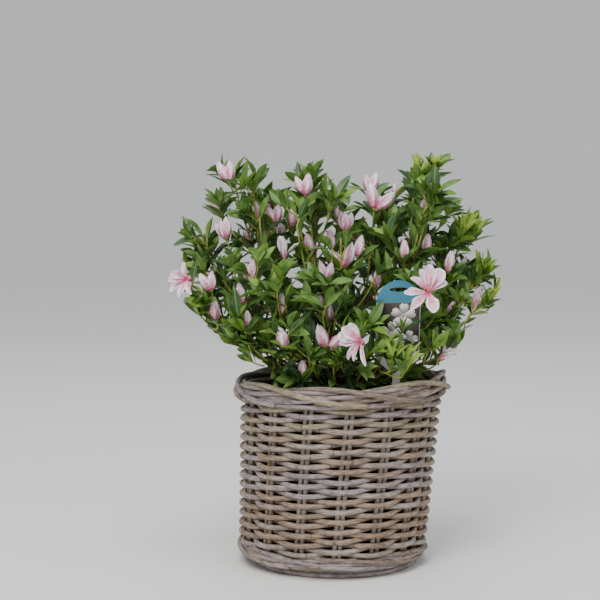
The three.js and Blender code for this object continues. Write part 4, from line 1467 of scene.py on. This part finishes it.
def leaf_tone(kind, share, random):
    """Leaves are old and dark low on a shoot and fresh near its tip, and tufts are young."""
    if kind == "tuft":
        return YOUNG if random() < YOUNG_SHARE else FRESH
    freshness = FRESHNESS[kind] * (share if kind == "along" else 1) + give(FRESHNESS_GIVE, random)
    return FRESH if freshness > FRESH_FROM else MID if freshness > MID_FROM else OLD


def within_reach(point):
    """Leaves stay within the space that the solids take up, give or take a few millimetres."""
    low, high = np.array(cad_box[0]) - REACH_MARGIN, np.array(cad_box[1]) + REACH_MARGIN
    return bool((point > low).all() and (point < high).all())


def under_fan(point):
    """True for a point below the crown's lower edge, beyond the rim."""
    reach = math.hypot(point[0] - PLANT_X, point[1])
    return point[2] < FAN_EDGE["height"] + FAN_EDGE["slope"] * (reach - FAN_EDGE["reach"])


def leaf_fits(root, end):
    middle = (root + end) / 2
    if end[2] > POT_HEIGHT and (under_fan(end) or under_fan(middle)):
        return False
    if not (clear_of_pot(middle) and clear_of_pot(end) and within_reach(end)):
        return False
    if hides_bloom(middle) or hides_bloom(end):
        return False
    return clear_of_tag(root, middle) and clear_of_tag(middle, end)


def place_leaf(growth, root, axis, kind, share, turn, random):
    sizes = LEAF_KINDS[kind]
    lean = math.radians(within(sizes["lean"], share if kind == "along" else random()))
    direction = leaning(axis, lean, turn)
    size = mix(LEAF_LOWEST_SIZE, 1.0, share) if kind == "along" else 1.0
    length = within(sizes["length"], random()) * size
    width = length * sizes["ratio"] * within(LEAF_RATIO_GIVE, random())
    if leaf_fits(root, root + direction * length):
        tone = leaf_tone(kind, share, random)
        normal = unit(axis + LEAF_TURNED_UP * UP)
        add_leaf(growth.leaves, root, direction, normal, length, width, tone, random)


def add_whorl(growth, tip, axis, turn, random, young=False):
    """The leaves at a shoot's tip: broad ones that spread, smaller ones inside and, if young, a tuft."""
    for kind, count in WHORL_COUNTS.items():
        for i in range(count):
            root = tip - axis * WHORL_SPREAD * (count - i)
            place_leaf(growth, root, axis, kind, 1.0, turn, random)
            turn += GOLDEN_ANGLE
    for number in range(TUFTS if young else 0):
        lean = math.radians(within(TUFT_STEM["lean"], random()))
        heading = leaning(axis, lean, turn + 2 * math.pi * number / TUFTS)
        top = tip + heading * TUFT_STEM["length"] * within(TUFT_STEM["give"], random())
        add_tube(growth.twigs, [tip, top], TUFT_STEM["radii"], STALK_SIDES, GREEN_WOOD)
        for i in range(TUFT_LEAVES):
            root = mix(tip, top, within(TUFT_SPAN, i / TUFT_LEAVES))
            place_leaf(growth, root, heading, "tuft", 1.0, turn + i * GOLDEN_ANGLE, random)


def dress_shoot(growth, path, radii, bare, random, young=False):
    """Draws a shoot with leaves along it, turned by the golden angle, and a whorl at its tip. The lowest
    third of a long shoot is woody."""
    length = path_length(path)
    widths = np.interp(np.linspace(0, 1, len(path)), np.linspace(0, 1, len(radii)), radii)
    split = len(path) // 3 if length > WOODY_LENGTH else 0
    if split:
        add_tube(growth.twigs, path[: split + 1], widths[: split + 1], SHOOT_SIDES, WOOD)
    add_tube(growth.twigs, path[split:], widths[split:], SHOOT_SIDES, GREEN_WOOD)
    growth.paths.append(path)
    turn = 2 * math.pi * random()
    at = bare * length
    while at < length - LEAF_LAST:
        point, axis = on_path(path, at / length)
        place_leaf(growth, point, axis, "along", at / length, turn, random)
        turn += GOLDEN_ANGLE
        at += within(LEAF_EVERY, random())
    tip, axis = on_path(path, 1)
    add_whorl(growth, tip, axis, turn, random, young)


def refine(spray, growth):
    """Grows a spray on from its solid: finer twigs where the solid has its large leaves."""
    random = random_source(spray.seed + SEEDS["twigs"])
    young = spray.tip == "young"
    for number, shoot in enumerate(spray.shoots):
        if number == 0:
            path = spray.curve.at(np.linspace(spray.leader_from, 1, PATH_POINTS["leader"]))
            dress_shoot(growth, path, LEADER_RADII, BARE["leader"], random, young)
        else:
            path = bezier(shoot, BEND_STEPS["side"])
            dress_shoot(growth, path, SIDE_RADII, BARE["side"], random, young and number == 1)
    twig_share = TWIG_SHARE["low" if spray.height < LOW_SPRAY else "high"]
    for number, leaf in spray.leaves:
        if random() > twig_share:
            continue
        reach = leaf.length * within(TWIG_REACH, random())
        rising = unit(leaf.direction + TWIG_RISING * UP)
        middle = leaf.root + leaf.direction * reach * 0.5
        path = bezier((leaf.root, middle, middle + rising * reach * 0.5), BEND_STEPS["twig"])
        if not under_fan(path[-1]):
            dress_shoot(growth, path, TWIG_RADII, BARE["twig"], random)
    for bud in spray.buds:
        if bud.root[1] > FRONT_FROM:
            add_bud_on_stalk(growth, bud.root, bud.direction, bud.normal, bud.length, random)


def add_bud_on_stalk(growth, tip, direction, normal, length, random):
    """A bud stands on a short stalk above the leaves of its whorl."""
    root = tip + direction * BUD_STALK
    add_tube(growth.twigs, [tip - direction * STALK["sunk"], root], STALK["radii"], STALK_SIDES, GREEN_WOOD)
    radius = BUD_DRAWN_RADIUS * length / BUD_LENGTH
    add_bud(growth.blooms, root, direction, normal, length, radius, random)


def basal_growth(growth):
    """Low leafy shoots that rise from the stem's head to just over the rim."""
    random = random_source(SEEDS["basal"])
    foot = np.array((PLANT_X, 0, SOIL_TOP + TRUNK_HEIGHT))
    for azimuth, reach, height in BASAL_SHOOTS:
        out = outward(math.radians(azimuth))
        rise = height - foot[2]
        bends = [(across * reach, up * rise) for across, up in BASAL_BENDS]
        corners = [(BASAL_FOOT, 0.0), *bends, (reach, rise)]
        curve = Curve(*[foot + out * across + UP * up for across, up in corners])
        path = curve.at(np.linspace(0, 1, PATH_POINTS["basal"]))
        dress_shoot(growth, path, BASAL_RADII, BARE["basal"], random)


def seen(column, row, y):
    """The place that the photograph shows at a column and row, at a distance y behind the plant's axis."""
    across = (column - PHOTO_MIDDLE) / FOCUS
    down = (row - PHOTO_MIDDLE) / FOCUS
    depth = (y - CAMERA["y"]) / (math.cos(PITCH) - down * math.sin(PITCH))
    fall = depth * (down * math.cos(PITCH) + math.sin(PITCH))
    return np.array((CAMERA["x"] + across * depth, y, CAMERA["height"] - fall))


def hides_bloom(point):
    """True for a point in front of one of the front's blooms."""
    away = point[1] - CAMERA["y"]
    fall = CAMERA["height"] - point[2]
    depth = away * math.cos(PITCH) + fall * math.sin(PITCH)
    column = PHOTO_MIDDLE + FOCUS * (point[0] - CAMERA["x"]) / depth
    row = PHOTO_MIDDLE + FOCUS * (fall * math.cos(PITCH) - away * math.sin(PITCH)) / depth
    beside = np.abs(BLOOM_PLACES - (column, row)) < BLOOM_SPACES
    return bool((beside.all(axis=1) & (point[1] < BLOOM_DEPTHS + SIGHT_DEPTH)).any())


def nearest_shoot(growth, place):
    """The best place to branch off: on a shoot, lower than the bloom and close to it."""
    best = None
    for path in growth.paths:
        too_high = np.maximum(0, path[:, 2] - place[2] + BRANCH_BELOW)
        gaps = np.linalg.norm(path - place, axis=1) + BRANCH_WEIGHT * too_high
        i = int(gaps.argmin())
        if best is None or gaps[i] < best[0]:
            best = (gaps[i], path[i])
    return best[1]


def front_blooms(growth):
    """The blooms of the front, each on a twig from the nearest shoot, with a whorl of leaves below it."""
    random = random_source(SEEDS["blooms"])
    for kind, column, row, y in BLOOMS:
        place = seen(column, row, y)
        axis = unit(UP + BLOOM_SPLAY * np.array((place[0] - PLANT_X, place[1], 0)))
        heading = leaning(axis, math.radians(OPENING_LEANS.get(kind, 0)), 0)
        if kind in BUD_GROUPS:
            place -= UP * (BUD_GROUPS[kind]["length"] / 2 + BUD_STALK)
        elif kind in OPENING_LEANS:
            place -= heading * OPENING_LENGTH / 2
        start = nearest_shoot(growth, place)
        middle = place - axis * 0.5 * np.linalg.norm(place - start)
        path = bezier((start, middle, place), BEND_STEPS["bloom"])
        dress_shoot(growth, path, SIDE_RADII[1:], BARE["bloom"], random, kind == "young")
        if kind in FLOWER_PETALS:
            facing = unit(np.array(FLOWER_FACES[kind]))
            mouth = place + facing * THROAT["length"]
            add_flower(growth.blooms, mouth, facing, FLOWER_PETALS[kind], random)
        elif kind in OPENING_LEANS:
            add_half_open(growth.blooms, place, heading, OPENING_LENGTH, random)
        elif kind in BUD_GROUPS:
            add_bud_group(growth, place, axis, kind, random)


def add_bud_group(growth, place, axis, kind, random):
    """Buds that stand side by side as the photograph shows them, each on its own stalk."""
    group = BUD_GROUPS[kind]
    way = one_of(GROUP_TURNS.get(kind, (0, 180)), random)
    turn = math.radians(way) + give(GROUP_SWAY, random)
    for number, lean in enumerate(group["leans"]):
        about = turn + 2 * math.pi * number / len(group["leans"])
        direction = leaning(axis, math.radians(lean), about)
        normal = leaning(axis, math.pi / 2, about + number)
        length = group["length"] * within(BUD_GIVE, random())
        add_bud_on_stalk(growth, place, direction, normal, length, random)


def add_trunk(piece):
    """The short stem, with bark ridges; it flares at the soil and again at its head."""
    low = SOIL_TOP + GAP
    high = low + TRUNK_HEIGHT
    shares = (0, TRUNK_ANKLE["share"], TRUNK_NARROWEST, 1)
    heights = np.linspace(low, high, TRUNK_ROWS)
    profile = (TRUNK_FLARE, TRUNK_ANKLE["radius"], TRUNK_RADIUS, TRUNK_HEAD)
    radii = np.interp(heights, [mix(low, high, share) for share in shares], profile)
    points = []
    for z, radius in zip(heights, radii):
        for angle in turns_round(TRUNK_SIDES):
            ridges = sum(size * math.sin(count * angle + slant * z) for size, count, slant in BARK_RIDGES)
            reach = radius * (BARK_DEPTH + ridges)
            points.append((PLANT_X + reach * math.cos(angle), reach * math.sin(angle), z))
    piece.add(np.array(points), tube_faces(TRUNK_ROWS, TRUNK_SIDES))


def add_bough(piece, number, spray):
    """A bough tapers to where its spray begins and swells a little at each knob."""
    shares = np.linspace(0, 1, BOUGH_STEPS)
    path = spray.curve.at(BOUGH_SHARE * shares)
    path[0] -= UP * BOUGH_SUNK
    knobs = 1 + BOUGH_KNOBS["size"] * np.sin(BOUGH_KNOBS["pace"] * np.arange(BOUGH_STEPS) + number)
    add_tube(piece, path, mix(BOUGH_RADIUS, BOUGH_TIP_RADIUS, shares) * knobs, BOUGH_SIDES)


def bark_finish():
    stops = [(0.3, "#2f2119"), (0.5, "#5a4030"), (0.72, "#80634d")]
    return grained("azalea_bark", 0.85, 0.2, (160, (1, 1, 0.25), 8), (0.0012,), stops)


def twig_finish(name, dark, main, pale):
    stops = [(0.3, dark), (0.5, main), (0.75, pale)]
    return grained(name, 0.6, 0.3, (240, (1, 1, 0.3), 5), (0.0004, 0.6), stops)


def leaf_finish(name, dark, main, pale, roughness):
    """Leaf skin: soft clouding, fine veins as a slight relief, and a satin gloss."""
    finish = Finish(name, roughness, 0.45)
    cloud = finish.noise(60, (1, 1, 1), 4)
    veins = finish.noise(420, (1, 1, 1), 2)
    finish.bump(veins, 0.0003, 0.4)
    finish.rough(cloud, roughness - 0.08, roughness + 0.12)
    return finish.paint(finish.ramp(cloud, [(0.3, dark), (0.5, main), (0.72, pale)]))


def petal_finish(name, main, pale):
    stops = [(0.35, main), (0.65, pale)]
    return grained(name, 0.55, 0.3, (260, (1, 1, 1), 4), (0.0003, 0.4), stops)


TWIG_COLOURS = {"brown": ("#4a2c1e", "#74462f", "#96694a"), "green": ("#6d7630", "#949a45", "#b3b163")}
# In the order of the leaves' slots, with the roughness of each
LEAF_COLOURS = {
    "old": ("#243e22", "#355829", "#4b6f3a", 0.38),
    "mid": ("#3f6026", "#587e33", "#719645", 0.40),
    "fresh": ("#587a2b", "#6f9335", "#86a644", 0.42),
    "young": ("#8aa83e", "#a5c04e", "#bdd268", 0.45),
    "rib": ("#72853e", "#8a9c4f", "#a0af61", 0.45),
}
# In the order of the petals' slots
BLOOM_COLOURS = {
    "petal_white": ("#f4ecf3", "#fdf9fc"),
    "petal_blush": ("#efb9cc", "#f6cddb"),
    "petal_pink": ("#e887a8", "#f09db9"),
    "petal_rose": ("#d4557f", "#e06c92"),
    "calyx_green": ("#6f9440", "#8aa952"),
    "anther_tan": ("#a8763f", "#c39352"),
}


def plant():
    growth = Growth()
    for spray in sprays:
        grow(spray)
        refine(spray, growth)
    basal_growth(growth)
    front_blooms(growth)
    wood = Piece()
    add_trunk(wood)
    for number, spray in enumerate(sprays):
        add_bough(wood, number, spray)
    boughs = [f"bough_{spray.name}" for spray in sprays]
    masses = [f"spray_{spray.name}" for spray in sprays]
    twig_finishes = [twig_finish(f"twig_{name}", *tones) for name, tones in TWIG_COLOURS.items()]
    leaf_finishes = [leaf_finish(f"leaf_{name}", *tones) for name, tones in LEAF_COLOURS.items()]
    bloom_finishes = [petal_finish(name, *tones) for name, tones in BLOOM_COLOURS.items()]
    wood.build("stem_and_boughs", [bark_finish()], "bark", ["trunk", *boughs])
    growth.twigs.build("twigs", twig_finishes, "young_bark", masses)
    growth.leaves.build("leaves", leaf_finishes, "foliage")
    growth.blooms.build("blooms", bloom_finishes, "foliage")


# The tag


def on_tag(flat, front):
    """Points of the tag's face: across it, above the soil and in front of the middle of its plate."""
    return [TAG_FOOT + TAG_AXES @ np.array((across, -front, up)) for across, up in flat]


def add_print(piece, outline, side, layer, slot):
    """A thin closed layer of print on the front (side 1) or the back (side -1) of the tag."""
    low = TAG_THICKNESS / 2 + layer * PRINT_DEPTH
    points = on_tag(outline, side * low) + on_tag(outline, side * (low + PRINT_DEPTH))
    count = len(outline)
    faces = [(j, (j + 1) % count, count + (j + 1) % count, count + j) for j in range(count)]
    faces += [tuple(range(count - 1, -1, -1)), tuple(range(count, 2 * count))]
    if side < 0:
        faces = [face[::-1] for face in faces]
    piece.add(np.array(points), faces, slot)


def rounded(left, right, low, high, corner):
    """The outline of a panel with round corners."""
    points = []
    for quarter, (x, z) in enumerate([(right, high), (left, high), (left, low), (right, low)]):
        across = x - math.copysign(corner, x - (left + right) / 2)
        up = z - math.copysign(corner, z - (low + high) / 2)
        for step in range(CORNER_STEPS + 1):
            turn = math.pi / 2 * (quarter + step / CORNER_STEPS)
            points.append((across + corner * math.cos(turn), up + corner * math.sin(turn)))
    return points


def rosette_petal(x, z, radius, turn):
    """A rounded petal with a small notch at its tip."""
    other_edge = [(-across, along) for across, along in reversed(ROSETTE_EDGE)]
    outline = [*ROSETTE_EDGE, ROSETTE_NOTCH, *other_edge]
    cos, sin = math.cos(turn), math.sin(turn)
    return [(x + radius * (a * sin + b * cos), z + radius * (b * sin - a * cos)) for a, b in outline]


def tag_finish():
    """Pale plastic below the band and teal above it, with a slightly uneven gloss."""
    finish = Finish("tag_plastic", 0.42, 0.4)
    finish.rough(finish.noise(90, (1, 1, 1), 3), 0.36, 0.5)
    height = finish.nodes.new("ShaderNodeSeparateXYZ")
    finish.links.new(finish.place, height.inputs["Vector"])
    band = SOIL_TOP + TAG_BAND * math.cos(math.radians(TAG["tilt"]))
    stops = [(band - TAG_BAND_EDGE, "#dcdad2"), (band + TAG_BAND_EDGE, "#3d7f98")]
    return finish.paint(finish.ramp(height.outputs["Z"], stops))


PRINT_COLOURS = {
    "dark": ("#3d352f", "#4a4139"),
    "cream": ("#d9d7cf", "#e6e4dc"),
    "heart": ("#c9a3ae", "#d6b4bd"),
    "white": ("#e4e8ea", "#eef1f2"),
}
DARK, CREAM, HEART, BLANK = range(4)


def add_rosette(piece, x, z, radius, layer):
    """A plain flower of five petals, and its heart in the layer over them."""
    for i in range(PETALS):
        turn = 2 * math.pi * i / PETALS + ROSETTE_TURN * radius
        add_print(piece, rosette_petal(x, z, radius, turn), 1, layer, CREAM)
    heart = radius * ROSETTE_HEART
    add_print(piece, rounded(x - heart, x + heart, z - heart, z + heart, heart), 1, layer + 1, HEART)


def tag_print():
    """The dark panel and its rosettes on the tag's front, and a blank panel on its back."""
    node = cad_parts["plant_tag"]
    node.data.materials.clear()
    node.data.materials.append(tag_finish())
    piece = Piece()
    add_print(piece, rounded(*TAG_PANEL, TAG_PANEL_CORNER), 1, 0, DARK)
    for number, rosette in enumerate(TAG_ROSETTES):
        add_rosette(piece, *rosette, 1 + 2 * number)
    add_print(piece, rounded(*TAG_LABEL, TAG_PANEL_CORNER), -1, 0, BLANK)
    finishes = [petal_finish(f"print_{name}", *tones) for name, tones in PRINT_COLOURS.items()]
    piece.build("tag_print", finishes, "tag_plastic")


# The stage, the light and the camera


def stage():
    """A pale floor that curves up into a round backdrop, far beyond the part and the camera."""
    profile = [(FLOOR["reach"], 0.0)]
    for i in range(1, FLOOR["steps"] + 1):
        turn = math.pi / 2 * i / FLOOR["steps"]
        across = FLOOR["reach"] + FLOOR["curve"] * math.sin(turn)
        profile.append((across, FLOOR["curve"] * (1 - math.cos(turn))))
    profile.append((FLOOR["reach"] + FLOOR["curve"], FLOOR["wall"]))
    points = [(0.0, 0.0, 0.0)]
    for across, up in profile:
        turns = turns_round(FLOOR["sides"])
        points += [(across * math.cos(turn), across * math.sin(turn), up) for turn in turns]
    faces = disc_faces(len(profile), FLOOR["sides"])
    mesh = bpy.data.meshes.new("floor")
    mesh.from_pydata(points, [], faces)
    mesh.polygons.foreach_set("use_smooth", [True] * len(faces))
    mesh.materials.append(floor_finish())
    floor = bpy.data.objects.new("floor", mesh)
    bpy.context.scene.collection.objects.link(floor)


def floor_finish():
    return grained("pale_floor", 0.9, 0.2, (2, (1, 1, 1), 2), None, [(0.0, "#f1efeb"), (1.0, "#f5f3ef")])


def area_light(name, place, target_height, size, power):
    light = bpy.data.lights.new(name, "AREA")
    light.size = size
    light.energy = power
    lamp = bpy.data.objects.new(name, light)
    lamp.location = place
    heading = Vector((0, 0, target_height)) - Vector(place)
    lamp.rotation_euler = heading.to_track_quat("-Z", "Y").to_euler()
    bpy.context.scene.collection.objects.link(lamp)


def lights():
    world = bpy.data.worlds.new("studio")
    world.use_nodes = True
    background = world.node_tree.nodes["Background"]
    background.inputs["Color"].default_value = SKY["colour"]
    background.inputs["Strength"].default_value = SKY["strength"]
    bpy.context.scene.world = world
    for name, light in LIGHTS.items():
        area_light(name, *light)


def camera():
    data = bpy.data.cameras.new("camera")
    data.lens = CAMERA["lens"]
    data.sensor_width = SENSOR_WIDTH
    data.clip_end = CAMERA["farthest"]
    view = bpy.data.objects.new("camera", data)
    view.location = (CAMERA["x"], CAMERA["y"], CAMERA["height"])
    view.rotation_euler = (math.radians(90) - PITCH, 0, 0)
    bpy.context.scene.collection.objects.link(view)
    bpy.context.scene.camera = view


basket_weave()
basket_rim()
basket_foot()
basket_underside()
finish_liner()
soil_surface()
plant()
tag_print()
stage()
lights()
camera()
